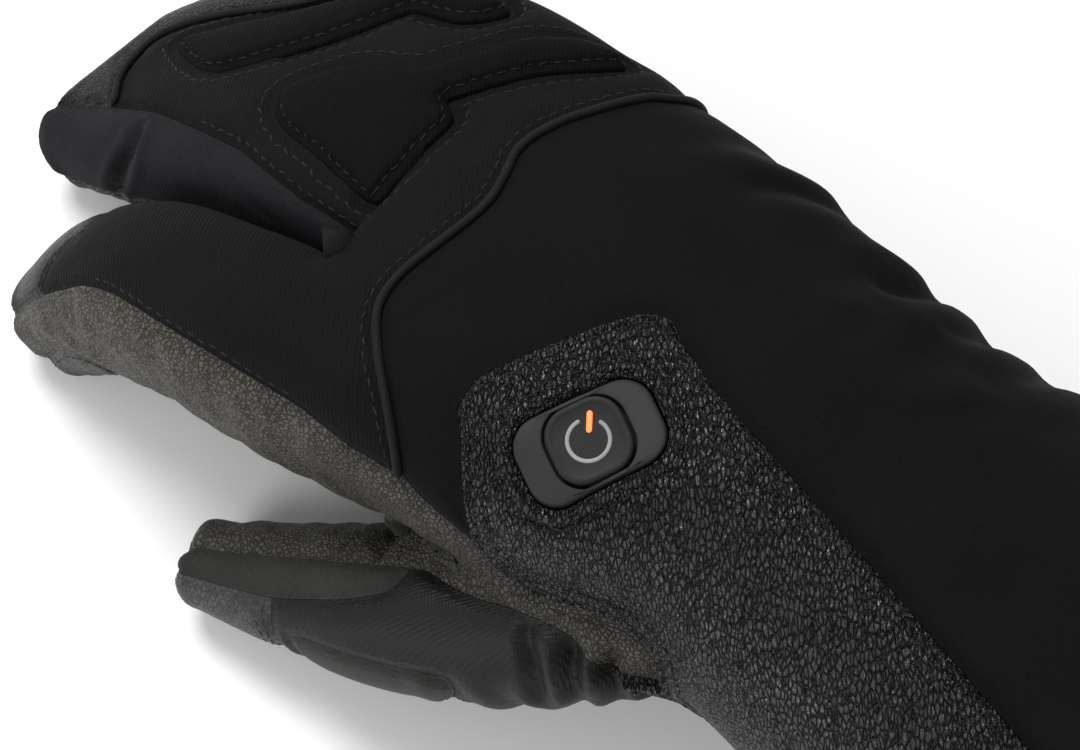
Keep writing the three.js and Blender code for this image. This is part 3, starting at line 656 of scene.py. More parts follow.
# folds: a line over the glove, height at its crest, width
FOLDS = [
    ([(36, 36, 21), (38.6, 43.1, 18.7), (47.4, 48.6, 13.8), (53, 52, 7), (57, 53, -4)], 1.5, 4.6),
    ([(45, 30.3, 23), (52.6, 37.3, 20.1), (61.4, 42.6, 16.3), (72.4, 44.8, 11.7), (81.6, 45, 6), (86, 45, -4)], 1.3, 5.2),
    ([(66, 33, 21), (70.6, 40, 16.3), (78.6, 46, 8), (80, 48, -3)], 0.8, 3.8),
    ([(84, 26.9, 20.7), (88.7, 32.6, 17.4), (92, 41.4, 10), (94, 45, -2), (92, 44, -16)], 1.5, 4.8),
    ([(100, 30, 20), (105, 38, 14.5), (108, 44, 5), (108, 46, -8)], 0.9, 4.6),
    ([(114, 28, 22), (121, 38, 15), (124, 45, 5), (123, 47, -8)], 1.3, 5.4),
    ([(96, 12, 22), (104, 20, 21), (110, 30, 18)], 0.7, 4.0),
    ([(72, 20, 24), (82, 30, 20)], 0.6, 4.0),
    ([(70, -58, -14), (75, -53, -22), (77, -46, -30)], 1.2, 3.2),
    ([(60, -64, -22), (64, -60, -34), (64, -50, -40)], 1.0, 3.0),
    ([(50, -70, -24), (54, -68, -36), (54, -58, -44)], 0.9, 3.0),
    ([(38, -72, -30), (42, -71, -42)], 0.6, 3.0),
    ([(68.9, -52.3, -7), (69.9, -54.3, -10), (71, -56.1, -14.4), (72.6, -56, -26.9), (73, -52, -34)], 1.5, 2.3),
    ([(60.5, -57.5, -9), (63.5, -60, -15), (65.6, -61, -22), (66, -58, -32)], 1.1, 2.2),
    ([(-104, 10, -9), (-93, -2, -6), (-80, -7, -4)], 0.5, 2.6),
]
CREASES = [
    ([(-87.1, -7.1, -6.6), (-85.7, -11, -7.4), (-85.4, -14.6, -10.5), (-87.9, -16.2, -18.6), (-91.2, -16.1, -28.4), (-93, -15, -36)], 2.1, 1.3),
    ([(-63, -12.5, 5.5), (-50, -14.5, 3), (-38, -16, 2)], 0.5, 1.2),
    ([(42, 38, 22), (52, 46, 16), (60, 50, 6)], 0.8, 1.8),
    ([(76, 34, 19), (84, 40, 13), (88, 45, 4)], 0.9, 1.8),
    ([(95, 34, 17.5), (99, 40, 12), (101, 45, 2)], 1.0, 1.8),
    ([(110, 34, 18), (114, 41, 11), (116, 46, 0)], 0.9, 1.8),
    ([(55.5, -56.5, -9), (57.2, -58.7, -13), (60.1, -60.5, -15.7), (62.4, -62.5, -23.4), (62.5, -60, -34)], 1.7, 1.5),
    ([(66.6, -55.4, -9.5), (67.7, -57.4, -14.3), (68.4, -58.7, -19.1), (69, -57, -30)], 1.6, 1.3),
    ([(75.5, -52, -8), (74.4, -53.4, -10.8), (76.7, -54.4, -20.1), (77, -52, -30)], 1.2, 1.2),
]
# the rear edges of the two pads, where the cloth is drawn in
REAR = [
    [(2.5, 53), (-2.2, 46.2), (-9.8, 38.6), (-15.2, 31.7), (-19.8, 25.3), (-22, 21.8), (-17.5, 17.9), (-18.3, 8.3), (-18.9, 0.2), (-20.1, -6.5)],
    [(-27, 50.6), (-29, 45.8), (-33.5, 41.8), (-38.4, 40.6), (-44.9, 40), (-47.6, 37.6), (-54.3, 28.3), (-62.3, 20.3)],
]


sk = sew_up()
key, lab = seam_edges(sk.F, sk.label)
mids = (sk.P[key[:, 0]] + sk.P[key[:, 1]]) / 2
near = distance_to(np.vstack([sk.P[np.unique(key)], mids]), sk.P, 8)
refine(sk, near, 2.6)
P0, F0, LAB = sk.P, sk.F, sk.label
N0 = vertex_normals(P0, F0)
key, lab = seam_edges(F0, LAB)

pads = {ID["knuckle_pad"], ID["finger_pad"]}
patchy = {ID["cuff_patch"], ID["switch_hole"]}
piped_pair = {ID["knuckle_panel"], ID["back_panel"]}


def kind(a, b):
    s = {a, b}
    if s & patchy:
        return "switch" if ID["switch_hole"] in s else "patch"
    if s & pads:
        return "pad"
    if s == piped_pair:
        return "piped"
    return "seam"


kinds = np.array([kind(a, b) for a, b in lab])
D = {}
for k in ("switch", "patch", "pad", "piped", "seam"):
    e = key[kinds == k]
    pts = np.vstack([P0[np.unique(e)], (P0[e[:, 0]] + P0[e[:, 1]]) / 2])
    D[k] = distance_to(pts, P0, 12)
D["rim"] = distance_to(sk.rim_points, P0, 14)
D["any"] = np.min([D[k] for k in ("switch", "patch", "pad", "piped", "seam")], axis=0)

VL = np.zeros((len(P0), len(NAMES)), bool)      # which panels each point belongs to
for k in range(3):
    VL[F0[:, k], LAB] = True
on = {n: VL[:, i] for n, i in ID.items()}
seam_v = VL.sum(1) > 1


def heights():
    """how far each point stands off the smooth skin, mm"""
    h = np.zeros(len(P0))
    fabric = on["knuckle_panel"] | on["back_panel"] | on["gauntlet_under"] | on["thumb_back"] | on["mitten_side"]
    h -= 0.85 * bell(D["seam"], 1.15)
    h += 0.45 * smoothstep((D["any"] - 0.8) / 6)
    h -= 0.5 * bell(D["piped"], 1.6)
    h -= np.where(on["knuckle_panel"] | on["mitten_cap"] | on["back_panel"], 0.6, 0.3) * bell(D["pad"], 1.5)
    pad_in = (on["knuckle_pad"] | on["finger_pad"]) & ~seam_v
    h += np.where(pad_in, 1.8 * smoothstep((D["pad"] + 0.3) / 2.6) - 0.45 * bell(D["pad"] - 1.15, 0.5), 0)
    close = D["pad"] < 7
    rear = np.full(len(P0), 30.0)
    for line3 in REAR:
        pts = open_curve(line3, 8)
        rear[close] = np.minimum(rear[close], np.min(np.linalg.norm(P0[close, None, :2] - pts[None], axis=2), axis=1))
    drawn = smoothstep((6.5 - rear) / 3) * ~pad_in
    h -= 1.5 * drawn * bell(D["pad"] - 1.0, 1.5)
    patch_in = on["cuff_patch"] & ~seam_v
    e = np.clip(D["patch"] / 1.1, 0, 1)
    lip = np.sqrt(np.clip(1 - (1 - e) ** 2, 0, 1))
    row = 0.5 * (bell(D["patch"] - 2.3, 0.5) + bell(D["patch"] - 4.8, 0.5)) - 0.15 * bell(D["patch"] - 3.55, 0.7)
    h = np.where(patch_in, 2.0 * lip + 0.25 * bell(D["patch"] - 1.0, 0.55) - row + 0.15 * smoothstep((D["patch"] - 5) / 6), h)
    s = np.clip(D["switch"] / 1.0, 0, 1)
    lip2 = 0.5 + 0.5 * np.sqrt(np.clip(1 - (1 - s) ** 2, 0, 1))
    h = np.where(patch_in, h * lip2 + 0.12 * bell(D["switch"] - 1.4, 1.0) - 0.75 * bell(D["switch"] - 3.3, 0.75), h)
    h = np.where(on["cuff_patch"] & seam_v, np.where(D["switch"] < 0.01, 0.6, -0.25), h)
    h = np.where(~on["cuff_patch"], h - 0.35 * bell(D["patch"], 1.8), h)
    line = D["seam"]
    leather = on["palm_leather"] | on["thumb_palm"] | on["touch_tip"]
    h += np.where(leather & ~seam_v, 0.28 * ripple(P0, 9, 5) * smoothstep(line / 4) - 0.16 * bell(line - 1.7, 0.5), 0)
    h += np.where(fabric & ~seam_v, 0.22 * ripple(P0, 22, 3) * smoothstep(D["any"] / 5), 0)
    for line3, amp, wide in FOLDS:
        d, w = polyline_distance(P0, line3)
        end = smoothstep(w / 0.25) * smoothstep((1 - w) / 0.25)
        h += amp * bell(d, wide) * end - 0.35 * amp * bell(d - 1.9 * wide, 0.8 * wide) * end
    for line3, amp, wide in CREASES:
        d, w = polyline_distance(P0, line3)
        end = smoothstep(w / 0.2) * smoothstep((1 - w) / 0.2)
        h -= amp * bell(d, wide) * end - 0.3 * amp * bell(d - 2.6 * wide, wide * 1.2) * end
    x = P0[:, 0]
    s_hand, ang, _, f_hand = coords(P0)["hand"]
    under = smoothstep((x - 62) / 14) * smoothstep((112 - x) / 14) * (f_hand > -3)
    lee = smoothstep((np.mod(ang, 360) - 225) / 30) * smoothstep((345 - np.mod(ang, 360)) / 25)
    h += 0.8 * np.sin(2 * math.pi * (x + 3 * np.sin(ang / 9)) / 10.5) * under * lee * smoothstep(D["any"] / 4)
    h -= 1.5 * np.clip(1 - D["rim"] / 2.2, 0, 1) ** 2
    h -= 0.25 * bell(D["rim"] - 5.5, 0.6)
    return h


H = heights()
P1 = P0 + N0 * H[:, None]
P1 = smooth_positions(P1, F0, 1) * 0.5 + P1 * 0.5
W1 = to_world(P1)
W1[:, 2] = np.maximum(W1[:, 2], 0.0)
WIN = to_world(P0 - N0 * (3.6 - 0.4 * bell(D["rim"], 2.0))[:, None])
WIN[:, 2] = np.maximum(WIN[:, 2], 0.0012)
N1 = vertex_normals(W1, F0)


# ------------------------------------------------------------------ materials
class Nodes:
    """short words for building a material"""

    def __init__(self, name):
        self.m = bpy.data.materials.new(name)
        self.m.use_nodes = True
        self.t = self.m.node_tree
        self.t.nodes.clear()
        self.out = self.add("ShaderNodeOutputMaterial")
        self.bsdf = self.add("ShaderNodeBsdfPrincipled")
        self.t.links.new(self.bsdf.outputs[0], self.out.inputs["Surface"])
        self.where = self.add("ShaderNodeTexCoord").outputs["Object"]

    def add(self, kind, **props):
        n = self.t.nodes.new(kind)
        for k, v in props.items():
            setattr(n, k, v)
        return n

    def link(self, a, b):
        self.t.links.new(a, b)

    def noise(self, scale, detail=3.0, rough=0.55, vector=None, distortion=0.0):
        n = self.add("ShaderNodeTexNoise")
        n.inputs["Scale"].default_value = scale
        n.inputs["Detail"].default_value = detail
        n.inputs["Roughness"].default_value = rough
        n.inputs["Distortion"].default_value = distortion
        self.link(vector or self.where, n.inputs["Vector"])
        return n

    def turned(self, rotation, scale=(1, 1, 1), vector=None):
        n = self.add("ShaderNodeMapping")
        n.inputs["Rotation"].default_value = rotation
        n.inputs["Scale"].default_value = scale
        self.link(vector or self.where, n.inputs["Vector"])
        return n.outputs[0]

    def math(self, op, a, b=None, clamp=False):
        n = self.add("ShaderNodeMath", operation=op, use_clamp=clamp)
        for i, v in enumerate((a, b)):
            if v is None:
                continue
            if isinstance(v, (int, float)):
                n.inputs[i].default_value = v
            else:
                self.link(v, n.inputs[i])
        return n.outputs[0]

    def ramp(self, value, stops):
        n = self.add("ShaderNodeValToRGB")
        while len(n.color_ramp.elements) < len(stops):
            n.color_ramp.elements.new(0.5)
        for e, (p, c) in zip(n.color_ramp.elements, stops):
            e.position = p
            e.color = (*c, 1) if len(c) == 3 else c
        self.link(value, n.inputs["Fac"])
        return n.outputs[0]

    def colour(self, value, stops):
        self.link(self.ramp(value, stops), self.bsdf.inputs["Base Color"])

    def rough(self, value, lo, hi):
        n = self.add("ShaderNodeMapRange")
        n.inputs["To Min"].default_value = lo
        n.inputs["To Max"].default_value = hi
        self.link(value, n.inputs["Value"])
        self.link(n.outputs[0], self.bsdf.inputs["Roughness"])

    def bump(self, height, distance, strength=1.0, under=None):
        n = self.add("ShaderNodeBump")
        n.inputs["Distance"].default_value = distance
        n.inputs["Strength"].default_value = strength
        self.link(height, n.inputs["Height"])
        if under is not None:
            self.link(under, n.inputs["Normal"])
        return n.outputs[0]

    def normal(self, out):
        self.link(out, self.bsdf.inputs["Normal"])

    def set(self, **values):
        for k, v in values.items():
            self.bsdf.inputs[k.replace("_", " ")].default_value = v
        return self


def grey(v, r=1.0, b=1.0):
    return (v * r, v, v * b)


def cloth(name, base, rib=0.0, rib_turn=0.6, gloss=(0.72, 0.9), sheen=0.25, warm=(1.0, 1.0), fleck=0.35, spec=0.06):
    m = Nodes(name)
    m.set(Specular_IOR_Level=spec, Sheen_Weight=sheen, Sheen_Roughness=0.45, Sheen_Tint=(0.75, 0.78, 0.85, 1))
    big = m.noise(60, 3)
    fine = m.noise(1500, 2, 0.7)
    mix = m.math("ADD", m.math("MULTIPLY", big.outputs[0], 0.45), m.math("MULTIPLY", fine.outputs[0], 0.55))
    m.colour(mix, [(0.3, grey(base * (1 - fleck), *warm)), (0.7, grey(base * (1 + fleck), *warm))])
    m.rough(big.outputs[0], *gloss)
    a = m.add("ShaderNodeTexWave", wave_type="BANDS", bands_direction="X", wave_profile="SIN")
    a.inputs["Scale"].default_value = 340
    a.inputs["Distortion"].default_value = 1.2
    a.inputs["Detail"].default_value = 1.0
    a.inputs["Detail Scale"].default_value = 0.6
    m.link(m.turned((0.3, 0.2, rib_turn)), a.inputs["Vector"])
    c = m.add("ShaderNodeTexWave", wave_type="BANDS", bands_direction="X", wave_profile="SIN")
    c.inputs["Scale"].default_value = 420
    c.inputs["Distortion"].default_value = 1.0
    m.link(m.turned((0.25, 0.15, rib_turn + 1.57)), c.inputs["Vector"])
    weave = m.math("ADD", m.math("MULTIPLY", a.outputs["Fac"], 0.5 + rib), m.math("MULTIPLY", c.outputs["Fac"], 0.5 - 0.4 * rib))
    weave = m.math("ADD", weave, m.math("MULTIPLY", fine.outputs[0], 0.8))
    soft = m.noise(140, 3, 0.5)
    low = m.bump(soft.outputs[0], 0.0006, 0.5)
    m.normal(m.bump(weave, 0.00006 + 0.00005 * rib, 0.9, low))
    return m.m


def leather(name, dark, light, grain, depth, gloss=(0.38, 0.55), warm=(1.0, 1.0), stretch=(1, 1, 1), lie=0.4, even=0.35, warped=0.9, edge=0.30, spec=0.5, dull=0.4):
    m = Nodes(name)
    warp = m.noise(grain * 0.55, 3, 0.6)
    off = m.add("ShaderNodeVectorMath", operation="SCALE")
    m.link(warp.outputs["Color"], off.inputs[0])
    off.inputs["Scale"].default_value = warped / grain
    add = m.add("ShaderNodeVectorMath", operation="ADD")
    m.link(m.turned((0, 0, 0), stretch, m.turned((0, 0, lie))), add.inputs[0])
    m.link(off.outputs[0], add.inputs[1])
    cells = m.add("ShaderNodeTexVoronoi", feature="DISTANCE_TO_EDGE")
    cells.inputs["Scale"].default_value = grain
    m.link(add.outputs[0], cells.inputs["Vector"])
    small = m.add("ShaderNodeTexVoronoi", feature="DISTANCE_TO_EDGE")
    small.inputs["Scale"].default_value = grain * 2.1
    m.link(add.outputs[0], small.inputs["Vector"])
    crease = m.add("ShaderNodeMapRange", interpolation_type="SMOOTHSTEP")
    crease.inputs["From Max"].default_value = edge
    m.link(cells.outputs["Distance"], crease.inputs["Value"])
    crease2 = m.add("ShaderNodeMapRange", interpolation_type="SMOOTHSTEP")
    crease2.inputs["From Max"].default_value = 0.22
    m.link(small.outputs["Distance"], crease2.inputs["Value"])
    area = m.noise(90, 4, 0.6)
    amount = m.ramp(area.outputs[0], [(0.35, grey(even)), (0.62, grey(1.0))])
    h = m.math("ADD", m.math("MULTIPLY", crease.outputs[0], 0.75), m.math("MULTIPLY", crease2.outputs[0], 0.25))
    h = m.math("MULTIPLY", h, amount)
    fine = m.noise(grain * 5, 2, 0.6)
    h2 = m.math("ADD", h, m.math("MULTIPLY", fine.outputs[0], 0.12))
    # base colour: painted shade in the grain creases (darker where the crease height is low), mixed with a random tone
    # from the area noise; the same value sets the roughness
    crease_shade_and_tone = m.math("ADD", m.math("MULTIPLY", h, 0.6), m.math("MULTIPLY", area.outputs[0], 0.4))
    m.colour(crease_shade_and_tone, [(0.2, grey(dark, *warm)), (0.75, grey(light, *warm))])
    m.rough(crease_shade_and_tone, gloss[1], gloss[0])
    shine = m.add("ShaderNodeMapRange")
    shine.inputs["To Min"].default_value = spec * dull
    shine.inputs["To Max"].default_value = spec
    m.link(h, shine.inputs["Value"])
    m.link(shine.outputs[0], m.bsdf.inputs["Specular IOR Level"])
    folds = m.noise(45, 3, 0.5, distortion=0.4)
    low = m.bump(folds.outputs[0], 0.0012, 0.45)
    m.normal(m.bump(h2, depth, 1.0, low))
    return m.m


def rubber(name, base, gloss=(0.42, 0.55), warm=(1, 1), spec=0.45):
    m = Nodes(name)
    m.set(Specular_IOR_Level=spec)
    big, fine = m.noise(120, 3), m.noise(2600, 2, 0.7)
    m.colour(big.outputs[0], [(0.3, grey(base * 0.85, *warm)), (0.7, grey(base * 1.12, *warm))])
    m.rough(big.outputs[0], *gloss)
    m.normal(m.bump(fine.outputs[0], 0.00003, 0.6))
    return m.m


def thread(name, base, warm=(1, 1)):
    m = Nodes(name)
    m.set(Specular_IOR_Level=0.25, Sheen_Weight=0.05)
    w = m.add("ShaderNodeTexWave", wave_type="BANDS", bands_direction="DIAGONAL")
    w.inputs["Scale"].default_value = 900
    m.link(m.where, w.inputs["Vector"])
    m.colour(w.outputs["Fac"], [(0.2, grey(base * 0.7, *warm)), (0.8, grey(base * 1.25, *warm))])
    m.rough(w.outputs["Fac"], 0.55, 0.75)
    m.normal(m.bump(w.outputs["Fac"], 0.00008, 0.8))
    return m.m


def nap(name, base, warm=(1, 1)):
    m = Nodes(name)
    m.set(Specular_IOR_Level=0.1, Sheen_Weight=0.2, Sheen_Roughness=0.6)
    big, hair = m.noise(110, 4, 0.6), m.noise(1900, 3, 0.8)
    mix = m.math("ADD", m.math("MULTIPLY", big.outputs[0], 0.5), m.math("MULTIPLY", hair.outputs[0], 0.5))
    m.colour(mix, [(0.35, grey(base * 0.55, *warm)), (0.65, grey(base * 1.4, *warm))])
    m.rough(hair.outputs[0], 0.85, 1.0)
    m.normal(m.bump(hair.outputs[0], 0.0003, 0.9))
    return m.m


def glow(name, colour, strength):
    m = Nodes(name)
    n = m.noise(500, 2)
    m.colour(n.outputs[0], [(0.3, tuple(c * 0.9 for c in colour)), (0.7, colour)])
    m.set(Roughness=0.45, Emission_Color=(*colour, 1), Emission_Strength=strength)
    return m.m


MAT = {
    "softshell": cloth("softshell", 0.0045, sheen=0.02),
    "softshell_rib": cloth("softshell_rib", 0.0060, rib=0.5, rib_turn=-0.5, sheen=0.02),
    "softshell_pad": cloth("softshell_pad", 0.0034, rib=0.5, rib_turn=-0.5, sheen=0.01),
    "piping": cloth("piping", 0.003, sheen=0.01, spec=0.25),
    "palm_leather": leather("palm_leather", 0.016, 0.080, 900, 0.00045, (0.42, 0.60), (1.10, 0.82), even=0.7, warped=0.6, edge=0.24, spec=0.35, dull=0.3),
    "side_fabric": cloth("side_fabric", 0.013, sheen=0.04, warm=(0.97, 1.14)),
    "cap_leather": leather("cap_leather", 0.005, 0.014, 800, 0.00014, (0.36, 0.5), (0.97, 1.06), spec=0.22),
    "touch_leather": leather("touch_leather", 0.022, 0.045, 800, 0.00010, (0.40, 0.55), (1.06, 0.95), spec=0.3),
    "thumb_cap_leather": leather("thumb_cap_leather", 0.028, 0.060, 800, 0.00016, (0.36, 0.5), (1.0, 1.0), spec=0.3),
    "thumb_leather": leather("thumb_leather", 0.012, 0.062, 850, 0.00036, (0.38, 0.55), (1.09, 0.88), even=0.7, warped=0.5, spec=0.35),
    "strip_fabric": cloth("strip_fabric", 0.026, sheen=0.04, warm=(1.03, 0.95)),
    "thumb_fabric": cloth("thumb_fabric", 0.0050, rib=0.3, rib_turn=0.9, gloss=(0.45, 0.6), sheen=0.02, warm=(1.0, 1.1), spec=0.22),
    "suede": nap("suede", 0.010, (1.0, 0.84)),
    "gauntlet_fabric": cloth("gauntlet_fabric", 0.024, gloss=(0.30, 0.44), sheen=0.04, spec=0.5, warm=(1.0, 1.06)),
    "hem_fabric": cloth("hem_fabric", 0.0055, rib=0.4, sheen=0.03),
    "lining": nap("lining", 0.008),
    "patch_leather": leather("patch_leather", 0.0008, 0.012, 760, 0.00060, (0.24, 0.38), (0.98, 1.03), stretch=(1.5, 0.62, 1.1), lie=-0.61, even=0.9, warped=0.45, edge=0.25, spec=0.75, dull=0.03),
    "bezel_rubber": rubber("bezel_rubber", 0.022, (0.55, 0.68), (0.96, 0.98), spec=0.22),
    "button_rubber": rubber("button_rubber", 0.012, (0.5, 0.62), spec=0.2),
    "ring_print": rubber("ring_print", 0.24, (0.45, 0.55)),
    "light": glow("light", (1.0, 0.16, 0.035), 1.6),
    "thread_black": thread("thread_black", 0.007),
    "thread_grey": thread("thread_grey", 0.030, (1.03, 0.95)),
}


# ------------------------------------------------------------------ making the pieces
def new_object(name, V, F, material, body, smooth=True, inner_from=None):
    me = bpy.data.meshes.new(name)
    V = np.asarray(V, float)
    F = np.asarray(F)
    if F.dtype == object:
        me.from_pydata(V.tolist(), [], [list(f) for f in F])
    else:
        me.vertices.add(len(V))
        me.vertices.foreach_set("co", V.ravel())
        k = F.shape[1]
        me.loops.add(F.size)
        me.loops.foreach_set("vertex_index", F.ravel().astype(np.int32))
        me.polygons.add(len(F))
        me.polygons.foreach_set("loop_start", np.arange(0, F.size, k, dtype=np.int32))
        me.update(calc_edges=True)
    me.validate()
    mats = material if isinstance(material, list) else [material]
    for m in mats:
        me.materials.append(MAT[m])
    if inner_from is not None:
        idx = np.zeros(len(me.polygons), np.int32)
        idx[inner_from:] = 1
        me.polygons.foreach_set("material_index", idx)
    me.polygons.foreach_set("use_smooth", np.full(len(me.polygons), smooth))
    ob = bpy.data.objects.new(name, me)
    bpy.context.scene.collection.objects.link(ob)
    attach(ob, body)
    return ob


def panel(label, material, name=None, lining="lining"):
    """one panel of the skin as a closed piece: outer face, inner face and the rim between them"""
    F = F0[LAB == ID[label]]
    used = np.unique(F)
    m = np.full(len(P0), -1)
    m[used] = np.arange(len(used))
    f = m[F]
    E = np.concatenate([f[:, [0, 1]], f[:, [1, 2]], f[:, [2, 0]]])
    key = np.sort(E, axis=1)
    code = key[:, 0].astype(np.int64) * len(used) + key[:, 1]
    u, first, cnt = np.unique(code, return_index=True, return_counts=True)
    B = E[first[cnt == 1]]                        # rim edges, with the face on their left
    top, low = W1[used].copy(), WIN[used].copy()
    edge = np.unique(B)
    other = ~np.isin(np.arange(len(used)), edge)
    acc, n = np.zeros((len(used), 3)), np.zeros(len(used))
    for a, b in ((E[:, 0], E[:, 1]), (E[:, 1], E[:, 0])):
        ok = other[b]
        for k in range(3):
            acc[:, k] += np.bincount(a[ok], (top[b[ok]] - top[a[ok]])[:, k], len(used))
        n += np.bincount(a[ok], minlength=len(used))
    L = np.linalg.norm(acc, axis=1)
    pull = np.where((L > 1e-9)[:, None], acc / np.maximum(L, 1e-9)[:, None], 0) * 0.00007
    top[edge] += pull[edge]
    low[edge] += pull[edge]
    V = np.vstack([top, low])
    k = len(used)
    side = np.concatenate([np.stack([B[:, 0], k + B[:, 0], B[:, 1]], 1), np.stack([B[:, 1], k + B[:, 0], k + B[:, 1]], 1)])
    faces = np.concatenate([f, side, f[:, ::-1] + k])
    ob = new_object(name or label, V, faces, [material, lining], "glove", inner_from=len(f) + len(side))
    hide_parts(label)
    return ob


PANELS = {
    "thumb_cap": ("thumb_cap_leather",), "thumb_side": ("strip_fabric",), "thumb_palm": ("thumb_leather",), "nose_wipe": ("suede",),
    "touch_tip": ("touch_leather",), "index_cap": ("cap_leather",), "cuff_hem": ("hem_fabric",), "palm_leather": ("palm_leather",),
    "mitten_side": ("side_fabric",), "mitten_cap": ("cap_leather",), "cuff_patch": ("patch_leather",), "gauntlet_under": ("gauntlet_fabric",),
    "thumb_back": ("thumb_fabric",), "knuckle_pad": ("softshell_pad",), "finger_pad": ("softshell_pad",), "knuckle_panel": ("softshell_rib",),
    "back_panel": ("softshell",),
}
for n, (mat,) in PANELS.items():
    panel(n, mat, n + "_cloth", mat if n in ("knuckle_panel", "mitten_side") else "lining")


# ------------------------------------------------------------------ lines over the skin: piping and stitches
def level_lines(faces, value, iso):
    """chains of points where a value crosses a level: list of (vertex pairs, fractions)"""
    v = value[faces] - iso
    v = np.where(v == 0, 1e-9, v)
    pos = v > 0
    cross = pos.any(1) & ~pos.all(1)
    f, v, pos = faces[cross], v[cross], pos[cross]
    segs = []
    for a, b, c, x, y, z in zip(f[:, 0], f[:, 1], f[:, 2], v[:, 0], v[:, 1], v[:, 2]):
        pts = []
        for p, q, s, t in ((a, b, x, y), (b, c, y, z), (c, a, z, x)):
            if (s > 0) != (t > 0):
                pts.append((p, q) if p < q else (q, p))
        segs.append(pts)
    links = {}
    for i, (p, q) in enumerate(segs):
        links.setdefault(p, []).append(i)
        links.setdefault(q, []).append(i)
    done, chains = set(), []
    ends = [p for p, l in links.items() if len(l) == 1]
    for start in ends + list(links):
        for first in links[start]:
            if first in done:
                continue
            chain, at, seg = [start], start, first
            while seg is not None:
                done.add(seg)
                p, q = segs[seg]
                at = q if at == p else p
                chain.append(at)
                nxt = [s for s in links[at] if s not in done]
                seg = nxt[0] if nxt else None
            chains.append(chain)
    out = []
    for ch in chains:
        a = np.array([p for p, _ in ch])
        b = np.array([q for _, q in ch])
        va, vb = value[a] - iso, value[b] - iso
        t = np.clip(va / np.where(abs(va - vb) < 1e-12, 1e-12, va - vb), 0, 1)
        out.append((a, b, t))
    return out


def soften(X, rounds=3):
    closed = np.linalg.norm(X[0] - X[-1]) < 1e-9
    for _ in range(rounds):
        Y = X.copy()
        Y[1:-1] = 0.25 * X[:-2] + 0.5 * X[1:-1] + 0.25 * X[2:]
        if closed:
            Y[0] = Y[-1] = 0.25 * X[-2] + 0.5 * X[0] + 0.25 * X[1]
        X = Y
    return X


def resample(X, N, step):
    L = np.concatenate([[0], np.cumsum(np.linalg.norm(np.diff(X, axis=0), axis=1))])
    total = L[-1]
    count = max(int(total / step), 1)
    s = (np.arange(count) + 0.5) * total / count
    p = np.stack([np.interp(s, L, X[:, k]) for k in range(3)], 1)
    n = np.stack([np.interp(s, L, N[:, k]) for k in range(3)], 1)
    e = min(0.0004, total / 4)
    t = np.stack([np.interp(np.minimum(s + e, total), L, X[:, k]) - np.interp(np.maximum(s - e, 0), L, X[:, k]) for k in range(3)], 1)
    t /= np.maximum(np.linalg.norm(t, axis=1), 1e-12)[:, None]
    n -= (n * t).sum(1)[:, None] * t
    n /= np.maximum(np.linalg.norm(n, axis=1), 1e-12)[:, None]
    return p, t, n, total


def stitch_shape():
    rings = [(-0.5, 0.0, 0), (-0.46, 0.55, -0.3), (-0.3, 0.95, 0.15), (0.0, 1.0, 0.3), (0.3, 0.95, 0.15), (0.46, 0.55, -0.3), (0.5, 0.0, 0)]
    V, F, n = [], [], 6
    for x, r, z in rings[1:-1]:
        for j in range(n):
            a = 2 * math.pi * j / n
            V.append((x, r * math.cos(a), z + r * math.sin(a)))
    V += [(-0.52, 0, -0.6), (0.52, 0, -0.6)]
    m = len(rings) - 2
    for i in range(m - 1):
        for j in range(n):
            a, b = i * n + j, i * n + (j + 1) % n
            F += [(a, a + n, b), (b, a + n, b + n)]
    for j in range(n):
        F.append((m * n, j, (j + 1) % n))
        F.append((m * n + 1, (m - 1) * n + (j + 1) % n, (m - 1) * n + j))
    return np.array(V), np.array(F)


SV, SF = stitch_shape()


def stitches(name, rows, material, body="glove", pitch=3.1, length=2.2, radius=0.22, lift=-0.06):
    """rows: list of (points, normals) in metres"""
    allV, allF, off = [], [], 0
    for X, N in rows:
        if len(X) < 6:
            continue
        p, t, n, total = resample(X, N, pitch / 1000)
        if total < 0.006:
            continue
        b = np.cross(n, t)
        s = SV * np.array([length, radius, radius]) / 1000
        V = p[:, None] + n[:, None] * (lift / 1000) + s[None, :, :1] * t[:, None] + s[None, :, 1:2] * b[:, None] + s[None, :, 2:] * n[:, None]
        allV.append(V.reshape(-1, 3))
        F = SF[None] + (np.arange(len(p)) * len(SV))[:, None, None] + off
        allF.append(F.reshape(-1, 3))
        off += len(p) * len(SV)
    if not allV:
        return None
    ob = new_object(name, np.concatenate(allV), np.concatenate(allF), material, body)
    return ob


def rows_at(label, value, iso, test=None):
    """rows of a panel at a distance from a seam"""
    faces = F0[LAB == ID[label]]
    out = []
    for a, b, t in level_lines(faces, value, iso):
        X = W1[a] * (1 - t[:, None]) + W1[b] * t[:, None]
        N = N1[a] * (1 - t[:, None]) + N1[b] * t[:, None]
        if test is None:
            out.append((soften(X), N))
            continue
        H0 = P0[a] * (1 - t[:, None]) + P0[b] * t[:, None]
        ok = test(H0)
        i = 0
        while i < len(ok):
            if not ok[i]:
                i += 1
                continue
            j = i
            while j < len(ok) and ok[j]:
                j += 1
            if j - i > 5:
                out.append((soften(X[i:j]), N[i:j]))
            i = j
    return out


